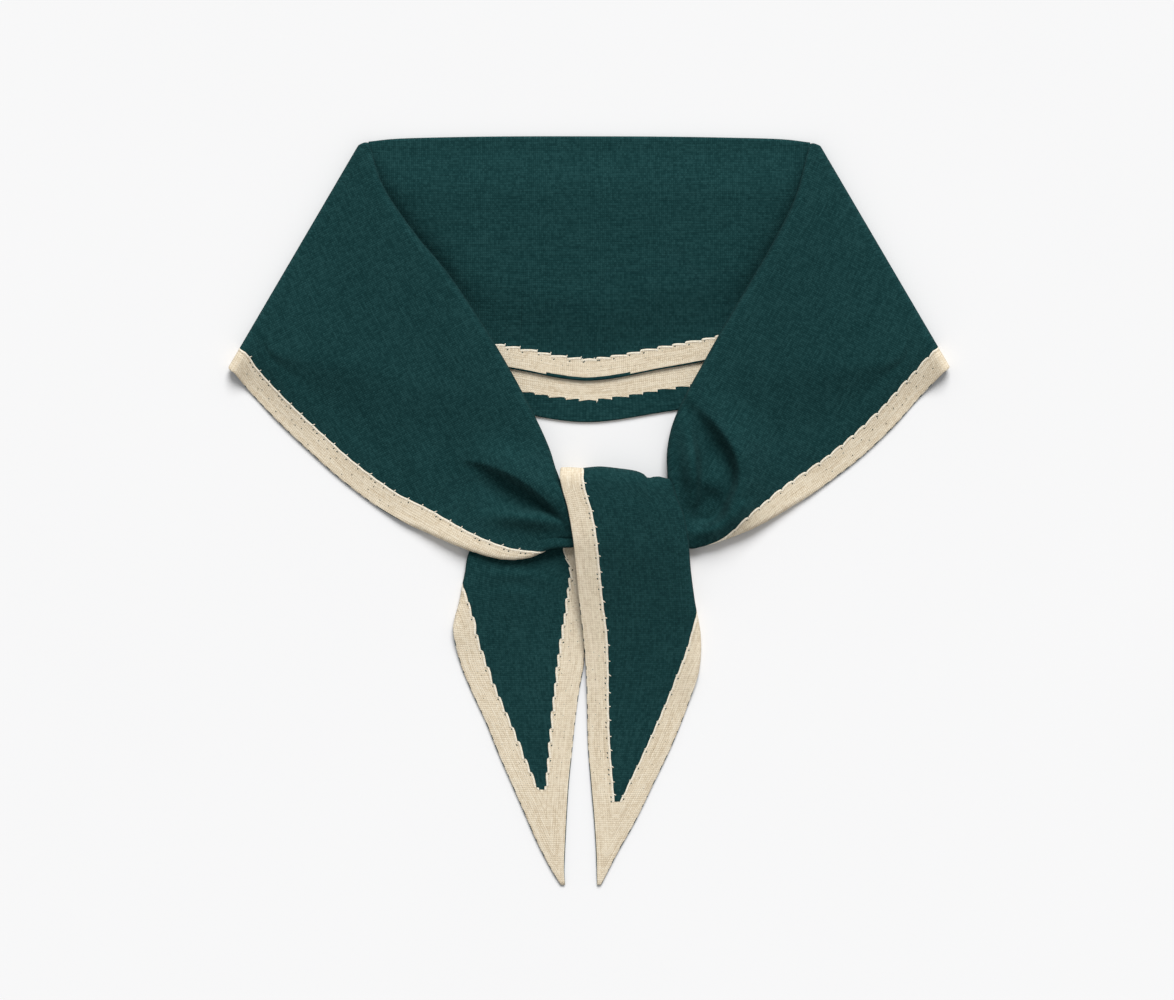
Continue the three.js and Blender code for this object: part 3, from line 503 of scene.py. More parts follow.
def cloth_mesh(name, grid, half, used, top, under, knit, edge, flip=False, steps=()):
    """One closed mesh: both faces of the used cells, and a wall where a neighbour isn't used.
    half: half thickness at each point; top, under: the colour of each cell's two faces; knit: the stitches' own coordinates; edge: distance to the rim and length along it."""
    n, m = grid.shape[:2]
    normal = normals_of(grid)
    soft = softened(normal, 4)
    # only where the cloth is full thick; the thin rims keep their own
    keep = (np.abs(half - HALF) < 0.02)[..., None]
    normal = np.where(keep, soft, normal)
    if flip:
        normal = -normal
    up, dn = grid + normal * half[..., None], grid - normal * half[..., None]
    points = np.concatenate([up.reshape(-1, 3), dn.reshape(-1, 3)])
    i, j = np.nonzero(used)
    at = lambda a, b, low: (a * m + b) + (n * m if low else 0)
    quads, colours, walls = [], [], []
    quads.append(np.stack([at(i, j, 0), at(i + 1, j, 0), at(i + 1, j + 1, 0), at(i, j + 1, 0)], 1))
    colours.append(top[i, j])
    quads.append(np.stack([at(i, j, 1), at(i, j + 1, 1), at(i + 1, j + 1, 1), at(i + 1, j, 1)], 1))
    colours.append(under[i, j])
    padded = np.pad(used, 1)
    for di, dj, c1, c2 in ((-1, 0, (0, 0), (0, 1)), (1, 0, (1, 1), (1, 0)), (0, -1, (1, 0), (0, 0)), (0, 1, (0, 1), (1, 1))):
        wall = used & ~padded[1 + di : n + di, 1 + dj : m + dj]
        i, j = np.nonzero(wall)
        a, b = (i + c1[0], j + c1[1]), (i + c2[0], j + c2[1])
        quads.append(np.stack([at(*a, 0), at(*b, 0), at(*b, 1), at(*a, 1)], 1))
        colours.append(top[i, j])
        thick = half[a] + half[b] > 0.5
        walls.append(np.stack([at(*a, 0), at(*b, 0)], 1)[thick])
        walls.append(np.stack([at(*a, 1), at(*b, 1)], 1)[thick])
    quads, colours, walls = np.concatenate(quads), np.concatenate(colours), np.concatenate(walls)
    kept, index = np.unique(quads, return_inverse=True)
    quads = index.reshape(-1, 4)
    remap = np.full(len(points), -1)
    remap[kept] = np.arange(len(kept))
    walls = remap[walls]
    points = points[kept] + SHIFT
    points[:, 2] = np.maximum(points[:, 2], 0.02)
    a, b, c, d = (points[quads[:, k]] for k in range(4))
    volume = (a * np.cross(b, c)).sum() + (a * np.cross(c, d)).sum()
    if volume < 0:
        quads = quads[:, ::-1]
    mesh = bpy.data.meshes.new(name)
    mesh.vertices.add(len(points))
    mesh.vertices.foreach_set("co", (points / 1000).astype(np.float32).ravel())
    mesh.loops.add(quads.size)
    mesh.loops.foreach_set("vertex_index", quads.astype(np.int32).ravel())
    mesh.polygons.add(len(quads))
    mesh.polygons.foreach_set("loop_start", np.arange(0, quads.size, 4, dtype=np.int32))
    mesh.update(calc_edges=True)
    mesh.polygons.foreach_set("material_index", colours.astype(np.int32))
    mesh.polygons.foreach_set("use_smooth", np.ones(len(quads), bool))
    ends = np.zeros(len(mesh.edges) * 2, np.int32)
    mesh.edges.foreach_get("vertices", ends)
    ends = np.sort(ends.reshape(-1, 2), 1).astype(np.int64)
    walls = np.sort(walls, 1).astype(np.int64)
    sharp = np.isin(ends[:, 0] * len(points) + ends[:, 1], walls[:, 0] * len(points) + walls[:, 1])
    layer = mesh.attributes.new("sharp_edge", "BOOLEAN", "EDGE")
    layer.data.foreach_set("value", sharp)
    for label, values in (("knit", knit), ("rim", edge)):
        width = values.shape[-1]
        values = np.concatenate([values.reshape(-1, width)] * 2)[kept]
        data = np.zeros((len(values), 3), np.float32)
        data[:, :width] = values
        layer = mesh.attributes.new(label, "FLOAT_VECTOR", "POINT")
        layer.data.foreach_set("vector", data.ravel())
    mesh.validate()
    piece = bpy.data.objects.new(name, mesh)
    bpy.context.scene.collection.objects.link(piece)
    for material in MATERIALS:
        mesh.materials.append(material)
    return piece


def rounded(d, r=0.75):
    """Half thickness of the cloth at a distance from its knitted edge."""
    x = np.clip(1 - d / r, 0, 1)
    return HALF * np.sqrt(np.clip(1 - x * x, 0.0006, 1))


def wobble(k, seed):
    return np.sin(k * 2.399 + seed) * 0.6 + np.sin(k * 5.137 + seed * 1.7) * 0.4


def stairs(length, seed, style="stairs", rise=STEP_HIGH, long=STEP_LONG):
    """Where the colours meet, as an offset from the border's width, against the length along the edge: (places, offset at any place)."""
    count = int(length / long) + 3
    k = np.arange(count)
    corners = (k + 0.12 * wobble(k, seed)) * long - long * 0.5
    sizes = 1 + 0.3 * wobble(k, seed + 3)
    shapes = {
        "stairs": ((0.012, 0.5), (0.3, 0.4), (0.9, -0.4), (0.985, -0.62)),
        "scallop": ((0.012, -0.55), (0.06, 0.05), (0.2, 0.42), (0.5, 0.5), (0.8, 0.2), (0.97, -0.1)),
        "chain": ((0.012, 0.1), (0.5, -0.08), (0.97, 0.08)),
        "soft": ((0.012, 0.16), (0.35, 0.1), (0.7, -0.16), (0.97, -0.1)),
    }
    places, offsets = [], []
    for a, b, size in zip(corners[:-1], corners[1:], sizes):
        for f, g in shapes[style]:
            places.append(lerp(a, b, f))
            offsets.append(rise * size * g)
    places, offsets = np.array(places), np.array(offsets)
    return places, lambda x: np.interp(x, places, offsets), corners


def row_places(length, step, *extra):
    """Places of the mesh's rows along an edge: even ones, and those that the steps need."""
    places = np.concatenate([np.linspace(0, length, max(2, int(length / step) + 1)), *extra])
    places = np.sort(places[(places >= 0) & (places <= length)])
    keep = np.concatenate([[True], np.diff(places) > 0.03])
    return places[keep]


def arc(points):
    return np.concatenate([[0], np.cumsum(np.linalg.norm(np.diff(points, axis=0), axis=1))])


def spaced(a, b, fractions):
    """Columns from a to b for every row."""
    return a[:, None] + (b - a)[:, None] * np.asarray(fractions)[None, :]


RIM_STEPS = np.array([0, 0.06, 0.16, 0.32, 0.55, 0.8])  # mm from the rim, where the edge is rounded
SEAM_STEPS = np.array([1.25, 1.0, 0.78, 0.58, 0.38, 0.18, 0])  # mm from the seam, where the light cord is
BORDER_COLS = np.linspace(0, 1, 11)[1:]


def border_cols(total, width):
    """s of a border's columns, from the rim inwards."""
    scale = np.minimum(1, width / 4)[:, None]
    rim = total[:, None] - RIM_STEPS[None, :] * scale
    seam = (total - width)[:, None] + SEAM_STEPS[None, :] * scale
    rest = spaced(rim[:, -1], seam[:, 0], BORDER_COLS)
    return np.concatenate([rim, rest, seam[:, 1:]], 1)


def bead(d, width):
    """What the light cord along the seam adds to the half thickness, at d from the seam."""
    return BEAD * np.exp(-(((d - 0.55) / 0.3) ** 2)) * np.clip(width / 6 - 0.3, 0, 1)


def slanted(line, way):
    """How much wider the border is along a row than square to its rim."""
    tangent = unit(np.gradient(line, axis=0))
    cross = np.linalg.norm(np.cross(tangent, unit(way)), axis=-1)
    return 1 / np.clip(cross, 0.6, 1)


def dashes(a, seed, period=6.0, long=2.2, runs=()):
    """Where the reverse side's green shows along the rim."""
    k = np.floor(a / period)
    where = a - k * period
    start = (period - long) * (0.5 + 0.4 * wobble(k, seed))
    size = long * (1 + 0.5 * wobble(k, seed + 2))
    on = (where > start) & (where < start + size)
    for low, high in runs:
        on |= (a > low) & (a < high)
    return on


def smooth_blob(rings=5, sides=8):
    """A unit ball's vertices and quads, for small strands and holes."""
    lat = np.linspace(-math.pi / 2, math.pi / 2, rings + 2)
    lat[0], lat[-1] = -1.45, 1.45
    lon = np.arange(sides) * 2 * math.pi / sides
    v = np.stack([np.sin(lat)[:, None] + 0 * lon[None, :], np.cos(lat)[:, None] * np.cos(lon)[None, :], np.cos(lat)[:, None] * np.sin(lon)[None, :]], -1)
    n = len(lat)
    f = [[i * sides + j, i * sides + (j + 1) % sides, (i + 1) * sides + (j + 1) % sides, (i + 1) * sides + j] for i in range(n - 1) for j in range(sides)]
    caps = [list(range(sides))[::-1], [(n - 1) * sides + j for j in range(sides)]]
    return v.reshape(-1, 3), f, caps


def strand_mesh(name, blobs):
    """Many small ellipsoids as one mesh: each is a centre, three half axes and a colour."""
    v, faces, caps = smooth_blob()
    points, polygons, colours = [], [], []
    for k, (centre, x, y, z, colour) in enumerate(blobs):
        points.append(centre + v[:, :1] * x + v[:, 1:2] * y + v[:, 2:] * z)
        turned = np.dot(np.cross(x, y), z) < 0
        for f in faces + caps:
            f = [q + k * len(v) for q in f]
            polygons.append(f if turned else f[::-1])
            colours.append(colour)
    points = (np.concatenate(points) + SHIFT) / 1000
    mesh = bpy.data.meshes.new(name)
    mesh.from_pydata(points.tolist(), [], polygons)
    mesh.polygons.foreach_set("material_index", np.array(colours, np.int32))
    mesh.polygons.foreach_set("use_smooth", np.ones(len(polygons), bool))
    for label in ("knit", "rim"):
        data = np.zeros((len(points), 3), np.float32)
        data[:, :2] = points[:, :2] * 1000
        data[:, 2] = 0.5
        mesh.attributes.new(label, "FLOAT_VECTOR", "POINT").data.foreach_set("vector", data.ravel())
    piece = bpy.data.objects.new(name, mesh)
    bpy.context.scene.collection.objects.link(piece)
    for material in MATERIALS:
        mesh.materials.append(material)
    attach(piece, "root")
    return piece


def seam_strands(name, a, grid, seam, corners, style, seed, low, high, outer=1, rim=0):
    """The ends of yarn that show at each step of the seam: a light tick, and dark holes beside it."""
    line = grid[:, seam]
    inward = unit(grid[:, seam] - grid[:, seam - 2])
    tangent = unit(np.gradient(line, axis=0))
    normal = unit(np.cross(inward, tangent))
    normal = np.where(normal[:, 2:] * outer < 0, -normal, normal)
    at = lambda arr, x: np.array([np.interp(x, a, arr[:, k]) for k in range(3)])
    blobs = []
    for k, c in enumerate(corners):
        if not low < c < high:
            continue
        w = wobble(np.array(k + 1.0), seed)
        for x, kind in ((c, "tick"), (c + 1.1 + 0.5 * w, "hole"), (c + 3.2 + 0.8 * w, "hole2")):
            pt, i, t, n = at(line, x), unit(at(inward, x)), unit(at(tangent, x)), unit(at(normal, x))
            if kind == "tick":
                if style == "chain":
                    way = unit(i * 0.9 + t * (0.3 + 0.5 * w))
                    blobs.append((pt + i * 0.2 + n * (HALF + 0.08), way * (0.75 + 0.25 * w), np.cross(way, n) * 0.25, n * 0.22, BEIGE))
                elif style in ("stairs", "soft"):
                    way = unit(i * 0.8 + t * 0.4)
                    blobs.append((pt + i * 0.05 - t * 0.4 + n * (HALF + 0.1), way * (0.5 + 0.12 * w), np.cross(way, n) * 0.24, n * 0.22, BEIGE))
            elif kind == "hole" or (style == "chain" and w > 0):
                depth = {"chain": 1.5, "soft": 1.3}.get(style, 1.5 + 0.5 * w)
                way = unit(t * 0.7 + i * 0.5)
                blobs.append((pt - i * depth + n * (HALF - 0.06), way * (0.46 + 0.1 * w), np.cross(way, n) * 0.33, n * 0.16, GREEN))
    # scattered loops of the reverse side's yarn on the border
    for k in range(int((high - low) / 4.3)):
        w, w2 = wobble(np.array(k + 1.0), seed + 11), wobble(np.array(k + 1.0), seed + 17)
        x = low + 4.3 * (k + 0.5 + 0.45 * w)
        pt, i, t, n = at(line, x), unit(at(inward, x)), unit(at(tangent, x)), unit(at(normal, x))
        deep = 5.2 + 3.4 * w2
        col = grid[:, seam] - grid[:, rim]
        across = at(col, x)
        share = deep / max(np.linalg.norm(across), 1e-6)
        if share < 0.92:
            blobs.append((pt - across * share + n * (HALF - 0.08), t * 0.25, i * 0.22, n * 0.12, GREEN))
    if blobs:
        strand_mesh(name, blobs)


def make_front(side, rows, folds, style, seed, flip, runs):
    knot = sections(rows) - 1
    fine = np.linspace(0, knot, 600)
    r = row_at(rows, fine)
    rim_line = vec(r["ox"], r["oy"], 0)
    slant = slanted(rim_line, vec(r["ox"] - r["nx"], r["oy"] - r["ny"], 0))
    flat, total = front_length(rows, fine)
    line = front_cloth(rows, folds, fine[:, None], 1, np.minimum(flat, total - BORDER)[:, None])[:, 0]
    length = arc(line)
    places, offset, corners = stairs(length[-1], seed, style)
    a = row_places(length[-1], 1.15, places)
    u = np.concatenate([[-2.0], np.linspace(-1, 0, 13)[:-1], np.interp(a, length, fine)])
    along = np.concatenate([-TAB - TURN * math.pi * np.ones(1), np.linspace(-TURN * math.pi, 0, 13)[:-1], a])
    r = row_at(rows, np.maximum(u, 0))
    curl = np.maximum(r["curl"], 0)
    steady = 1 - ease(6, 9.5, curl)
    width = (r["show"] * lerp(1, np.interp(np.maximum(u, 0), fine, slant), 1 - ease(0.5, 5, curl))) + curl + offset(np.clip(along, 0, None)) * steady
    flat, total = front_length(rows, u)
    total = total - 1.2 * ease(0, 1, -u)
    U = u[:, None]
    border = border_cols(total, width)
    fresh = np.concatenate([[0.0], 1.2 * np.arange(1, 5)])
    near = (total - width)[:, None] - fresh[None, :]
    field = np.concatenate([near, spaced(total - width - fresh[-1], np.zeros_like(total), np.linspace(0, 1, 82)[1:])], 1)
    turn = np.linspace(0, math.pi, 11)[1:-1]
    corner = 2 * (1 - np.clip(u, 0, 1))
    under = np.maximum(5, np.minimum(total - RECESS - corner, flat - np.maximum(0, total - flat - math.pi * PLY) - 2))
    low_width = np.minimum(BORDER, 0.6 * under)
    low_field = spaced(np.zeros_like(under), under - low_width, np.linspace(0, 1, 22))
    low_border = np.concatenate([spaced(under - low_width, under - RIM_STEPS[-1], np.linspace(0, 1, 9)[1:]), under[:, None] - RIM_STEPS[::-1][None, 1:]], 1)
    grid = np.concatenate(
        [
            front_cloth(rows, folds, U, 1, border),
            front_cloth(rows, folds, U, 1, field[:, 1:]),
            front_fold(rows, folds, U, turn[None, :]),
            front_cloth(rows, folds, U, -1, low_field),
            front_cloth(rows, folds, U, -1, low_border),
        ],
        1,
    )
    seam_d = border - (total - width)[:, None]
    half = np.concatenate(
        [
            rounded(total[:, None] - border) + bead(seam_d, width[:, None]),
            np.full((len(u), field.shape[1] - 1 + len(turn) + low_field.shape[1]), HALF),
            rounded(under[:, None] - low_border),
        ],
        1,
    )
    # the stitches' own coordinates: the front is the band's cloth turned over at the slanted edge
    roll = np.maximum(r["roll"], PLY)
    ends = [np.array([rows["nx"][0], rows["ny"][0]]), np.array([rows["ox"][0], rows["oy"][0]])]
    line_way = (ends[1] - ends[0]) / np.linalg.norm(ends[1] - ends[0])

    def turned(p):
        q = p - ends[0]
        along_line = (q @ line_way)[..., None] * line_way
        return ends[0] + 2 * along_line - q

    n0 = np.stack([r["nx"], r["ny"]], 1)
    way = np.stack([r["ox"], r["oy"]], 1) - n0
    way /= np.linalg.norm(way, axis=1, keepdims=True)
    base, way_k = turned(n0), turned(n0 + way) - turned(n0)
    base = base + (np.where(u < 0, along, 0)[:, None]) * np.array([np.sign(-rows["ox"][0]), 0])[None, :]
    lengths = np.concatenate(
        [border, field[:, 1:], -roll[:, None] * turn[None, :], -(roll * math.pi)[:, None] - low_field, -(roll * math.pi)[:, None] - low_border], 1
    )
    knit = base[:, None, :] + lengths[..., None] * way_k[:, None, :]
    rim_d = np.concatenate(
        [total[:, None] - border, total[:, None] - field[:, 1:], 99 + 0 * (U + turn[None, :]), under[:, None] - low_field, under[:, None] - low_border], 1
    )
    seams = rim_d * 0 + 9.0
    seams[:, : border.shape[1]] = seam_d
    edge = np.stack([rim_d, np.broadcast_to(along[:, None], rim_d.shape), seams], -1)
    nb, nf = border.shape[1] - 1, field.shape[1] - 1 + len(turn) + low_field.shape[1]
    cols = grid.shape[1] - 1
    j = np.arange(cols)[None, :] + np.zeros((len(u) - 1, 1), int)
    is_border = (j < nb) | (j >= nb + nf)
    mid = (along[:-1] + along[1:]) / 2
    dash = dashes(mid, seed, runs=runs)[:, None] & (j < 3) & (curl[:-1] < 8)[:, None] & (mid > 8)[:, None]
    for name, used, slot, nodes, colours in (
        ("knit_wing_" + side, ~is_border, "green_knit", ["wing_" + side], (GREEN, BEIGE)),
        ("knit_border_wing_" + side, is_border, "beige_knit", ["border_wing_" + side], (BEIGE, GREEN)),
    ):
        top = np.where(dash, GREEN, np.full(used.shape, colours[0]))
        low = np.full(used.shape, colours[1])
        piece = cloth_mesh(name, grid, half, used, top, low, knit, edge, flip)
        declare(piece, nodes, "folded", ["knit_band", "floor"])
    shown = a[np.interp(np.interp(a, length, fine), np.arange(sections(rows)), rows["show"]) > 1.5][-1]
    seam_strands("knit_ticks_wing_" + side, a, grid[13:], nb, corners, style, seed, 3, shown)


def make_band(seed):
    last = sections(BAND) - 1
    fine = np.linspace(0, last, 600)
    length = arc(band_cloth(fine, 1, band_length(fine) - RECESS - BORDER))
    middle = length[-1] / 2
    places, offset, corners = stairs(middle, seed)
    places2, offset2, corners2 = stairs(middle, seed + 5)
    both = [middle + c for c in (places, places2)] + [middle - c for c in (places, places2)]
    a = row_places(length[-1], 1.3, *both)
    v = np.interp(a, length, fine)
    far = band_length(v)
    near = far - lerp(RECESS, RECESS + 3, np.abs(v / 4 - 1))
    w1, w2 = BORDER + offset(np.abs(a - middle)), BORDER + offset2(np.abs(a - middle))
    V = v[:, None]
    near_border = border_cols(near, w1)
    near_field = spaced(near - w1, np.zeros_like(near), np.linspace(0, 1, 40))
    turn = np.linspace(0, math.pi, 11)[1:-1]
    far_field = spaced(np.zeros_like(far), far - w2, np.linspace(0, 1, 26))
    far_border = border_cols(far, w2)[:, ::-1]
    upper = band_cloth(V, 1, near_field[:, 1:])
    upper[..., 2] += band_swell(upper, near_field[:, 1:], (near - w1)[:, None])
    grid = np.concatenate(
        [band_cloth(V, 1, near_border), upper, band_fold(V, turn[None, :]), band_cloth(V, -1, far_field), band_cloth(V, -1, far_border[:, 1:])],
        1,
    )
    seam_near, seam_far = near_border - (near - w1)[:, None], far_border[:, 1:] - (far - w2)[:, None]
    half = np.concatenate(
        [
            rounded(near[:, None] - near_border) + bead(seam_near, w1[:, None]),
            np.full((len(v), near_field.shape[1] - 1 + len(turn) + far_field.shape[1]), HALF),
            rounded(far[:, None] - far_border[:, 1:]),
        ],
        1,
    )
    r = row_at(BAND, v)
    n0 = np.stack([r["nx"], r["ny"]], 1)
    way = np.stack([r["ox"], r["oy"]], 1) - n0
    way /= np.linalg.norm(way, axis=1, keepdims=True)
    pi = math.pi * PLY
    lengths = np.concatenate([near_border, near_field[:, 1:], -PLY * turn[None, :] + 0 * V, -pi - far_field, -pi - far_border[:, 1:]], 1)
    knit = n0[:, None, :] + lengths[..., None] * way[:, None, :]
    rim_d = np.concatenate([near[:, None] - near_border, near[:, None] - near_field[:, 1:], 99 + 0 * (V + turn[None, :]), far[:, None] - far_field, far[:, None] - far_border[:, 1:]], 1)
    seams = rim_d * 0 + 9.0
    seams[:, : near_border.shape[1]] = seam_near
    seams[:, -seam_far.shape[1] :] = seam_far
    edge = np.stack([rim_d, np.broadcast_to(a[:, None], rim_d.shape), seams], -1)
    nb = near_border.shape[1] - 1
    nf = near_field.shape[1] - 1 + len(turn) + far_field.shape[1]
    j = np.arange(grid.shape[1] - 1)[None, :] + np.zeros((len(v) - 1, 1), int)
    shape = j.shape
    for name, used, slot, nodes, colours in (
        ("knit_band", (j >= nb) & (j < nb + nf), "green_knit", ["neck_band"], (GREEN, BEIGE)),
        ("knit_border_near", j < nb, "beige_knit", ["border_neck_near"], (BEIGE, GREEN)),
        ("knit_border_far", j >= nb + nf, "green_knit", ["border_neck_far"], (BEIGE, GREEN)),
    ):
        # the reverse side's green shows along the near layer's rim; the same green is also painted shade at that raised
        # edge, in a wider strip near the middle of the band
        shown = (j < 5) | ((j < 6) & (np.abs(v[:-1] - 4) < 0.55)[:, None])
        top = np.where(shown, GREEN, np.full(shape, colours[0]))
        piece = cloth_mesh(name, grid, half, used, top, np.full(shape, colours[1]), knit, edge)
        declare(piece, nodes, "folded", ["floor"])
    for name, part, ks, low in (("near", grid, corners, 1), ("far", grid[:, ::-1], corners2, -1)):
        at = np.concatenate([middle - ks[::-1], middle + ks])
        seam_strands("knit_ticks_" + name, a, part, nb, at, "stairs", seed, middle - 62, middle + 62)


def make_tail(side, rows, hem_side, styles, seed, relief=None, runs=()):
    end = sections(rows) - 1
    fine = np.linspace(0, end, 900)
    mid = tail_cloth(rows, hem_side, fine[:, None], (tail_width(rows, fine) * 0.5)[:, None], relief)[:, 0]
    length = arc(mid)
    free, folded = (stairs(length[-1], seed + k, style) for k, style in enumerate(styles))
    a = row_places(length[-1], 1.15, free[0], folded[0])

    def widths(at):
        u = np.interp(at, length, fine)
        r = row_at(rows, u)
        curl = np.maximum(r["curl"], 0)
        steady = ease(0, 5, r["show"])
        return tail_width(rows, u), r["free"] + free[1](at), np.maximum(r["show"], -2.9) + curl + folded[1](at) * steady

    # the green field ends bluntly where the two borders meet
    wide, w_free, w_fold = widths(a)
    late = a > 0.6 * length[-1]
    tip = a[late][np.argmax((wide - w_free - w_fold)[late] < BLUNT)]
    a = np.sort(np.concatenate([a, [tip + 0.02, tip + 0.05]]))
    u = np.interp(a, length, fine)
    U = u[:, None]
    total, w_free, w_fold = widths(a)
    w_fold = np.maximum(w_fold, 0.6)
    past = a > tip + 0.03
    w_free = np.where(past, 0.5 * total, w_free)
    w_fold = np.where(past, total - w_free, w_fold)
    c_free = -border_cols(np.zeros_like(total), w_free)
    field = spaced(w_free, total - w_fold, 0.5 - 0.5 * np.cos(np.linspace(0, math.pi, 34)))
    c_fold = border_cols(total, w_fold)[:, ::-1]
    s = np.concatenate([c_free, field[:, 1:-1], c_fold], 1)
    grid = tail_cloth(rows, hem_side, U, s, relief)
    shape_1 = np.clip((total - w_free - w_fold) / 3 + 0 * total, 0, 1)[:, None] * (~past)[:, None]
    half = np.concatenate(
        [
            rounded(c_free) + bead(w_free[:, None] - c_free, w_free[:, None]) * shape_1,
            np.full((len(u), field.shape[1] - 2), HALF),
            rounded(total[:, None] - c_fold) + bead(c_fold - (total - w_fold)[:, None], w_fold[:, None]) * shape_1 * ease(0, 4, row_at(rows, u)["show"])[:, None],
        ],
        1,
    )
    # the last rows taper to the tip
    half = half * (rounded(np.clip(length[-1] - a, 0, None), 0.9) / HALF)[:, None]
    lateral = s - total[:, None] / 2
    knit = np.stack([np.broadcast_to(a[:, None], s.shape), lateral], -1)
    rim_d = np.minimum(s, total[:, None] - s)
    seams = s * 0 + 9.0
    seams[:, : c_free.shape[1]] = w_free[:, None] - c_free
    seams[:, -c_fold.shape[1] :] = c_fold - (total - w_fold)[:, None]
    seams = np.where(past[:, None], 9.0, seams)
    edge = np.stack([rim_d, np.broadcast_to(a[:, None], s.shape), seams], -1)
    n1, n2 = c_free.shape[1] - 1, c_free.shape[1] - 1 + field.shape[1] - 1
    cells = s.shape[1] - 1
    i, j = np.indices((len(u) - 1, cells))
    is_field = (j >= n1) & (j < n2)
    before = a[:-1][:, None] + 0 * j < tip + 0.01
    shape = is_field.shape
    flip = hem_side < 0
    y = row_at(rows, (u[:-1] + u[1:]) / 2)["ly"][:, None]
    mid_a = (a[:-1] + a[1:]) / 2
    inner = (j < 3) & ((y < -116) | dashes(mid_a, seed + 4)[:, None])
    outer_dash = (j >= cells - 3) & dashes(mid_a, seed)[:, None] & (row_at(rows, u[:-1])["show"] > 3)[:, None]
    dash = (inner | outer_dash) & (y < -40)
    hidden = (j >= n2) & (row_at(rows, (u[:-1] + u[1:]) / 2)["show"] < 0.5)[:, None] & (row_at(rows, (u[:-1] + u[1:]) / 2)["ly"] > -24)[:, None]
    piece = cloth_mesh("knit_tail_" + side, grid, half, is_field & before, np.full(shape, GREEN), np.full(shape, BEIGE), knit, edge, flip)
    declare(piece, ["tail_" + side], "laid", ["knit_wing_left", "knit_wing_right", "floor"])
    beige = cloth_mesh(
        "knit_border_tail_" + side, grid, half, ~is_field | (is_field & ~before), np.where(dash | hidden, GREEN, np.full(shape, BEIGE)), np.full(shape, GREEN), knit, edge, flip
    )
    declare(beige, ["border_tail_" + side], "laid", ["knit_wing_left", "knit_wing_right", "floor"])
    start = a[np.argmax((row_at(rows, u)["ly"] < 16) & (u > 9.4 if side == "right" else u > 3))]
    seam_strands(f"knit_ticks_{side}_free", a, grid, n1, free[2], styles[0], seed, start, tip - 2)
    start = a[np.argmax((row_at(rows, u)["show"] > 3))]
    seam_strands(f"knit_ticks_{side}_fold", a, grid[:, ::-1], cells - n2, folded[2], styles[1], seed + 1, start, tip - 2)


BLUNT = 2.6
PIECES = []


def declare(piece, nodes, held, rests_on):
    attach(piece, "root")
    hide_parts(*nodes)
    PIECES.append((piece, held, rests_on))


# ---- materials ----
class Nodes:
    """A short way to write a material's nodes."""

    def __init__(self, material):
        self.tree = material.node_tree
        self.tree.nodes.clear()

    def add(self, kind, inputs=(), **settings):
        node = self.tree.nodes.new(kind)
        for name, value in settings.items():
            setattr(node, name, value)
        for key, value in dict(inputs).items():
            socket = node.inputs[key]
            if isinstance(value, bpy.types.NodeSocket):
                self.tree.links.new(value, socket)
            else:
                socket.default_value = value
        return node

    def math(self, operation, *values, clamp=False):
        return self.add("ShaderNodeMath", dict(enumerate(values)), operation=operation, use_clamp=clamp).outputs[0]

    def mix(self, factor, a, b, blend="MIX"):
        node = self.add("ShaderNodeMix", data_type="RGBA", blend_type=blend)
        for socket, value in ((node.inputs[0], factor), (node.inputs[6], a), (node.inputs[7], b)):
            if isinstance(value, bpy.types.NodeSocket):
                self.tree.links.new(value, socket)
            else:
                socket.default_value = value
        return node.outputs[2]

    def noise(self, vector, scale, detail=2.0, roughness=0.5):
        return self.add("ShaderNodeTexNoise", {"Vector": vector, "Scale": scale, "Detail": detail, "Roughness": roughness}, noise_dimensions="3D").outputs["Fac"]

    def spread(self, value, low, high, to_low=0.0, to_high=1.0):
        return self.add("ShaderNodeMapRange", {0: value, 1: low, 2: high, 3: to_low, 4: to_high}, clamp=True).outputs[0]

    def combine(self, x, y, z):
        return self.add("ShaderNodeCombineXYZ", {0: x, 1: y, 2: z}).outputs[0]


WALE = 1.05  # mm across a stitch
COURSE = 0.9  # mm along it


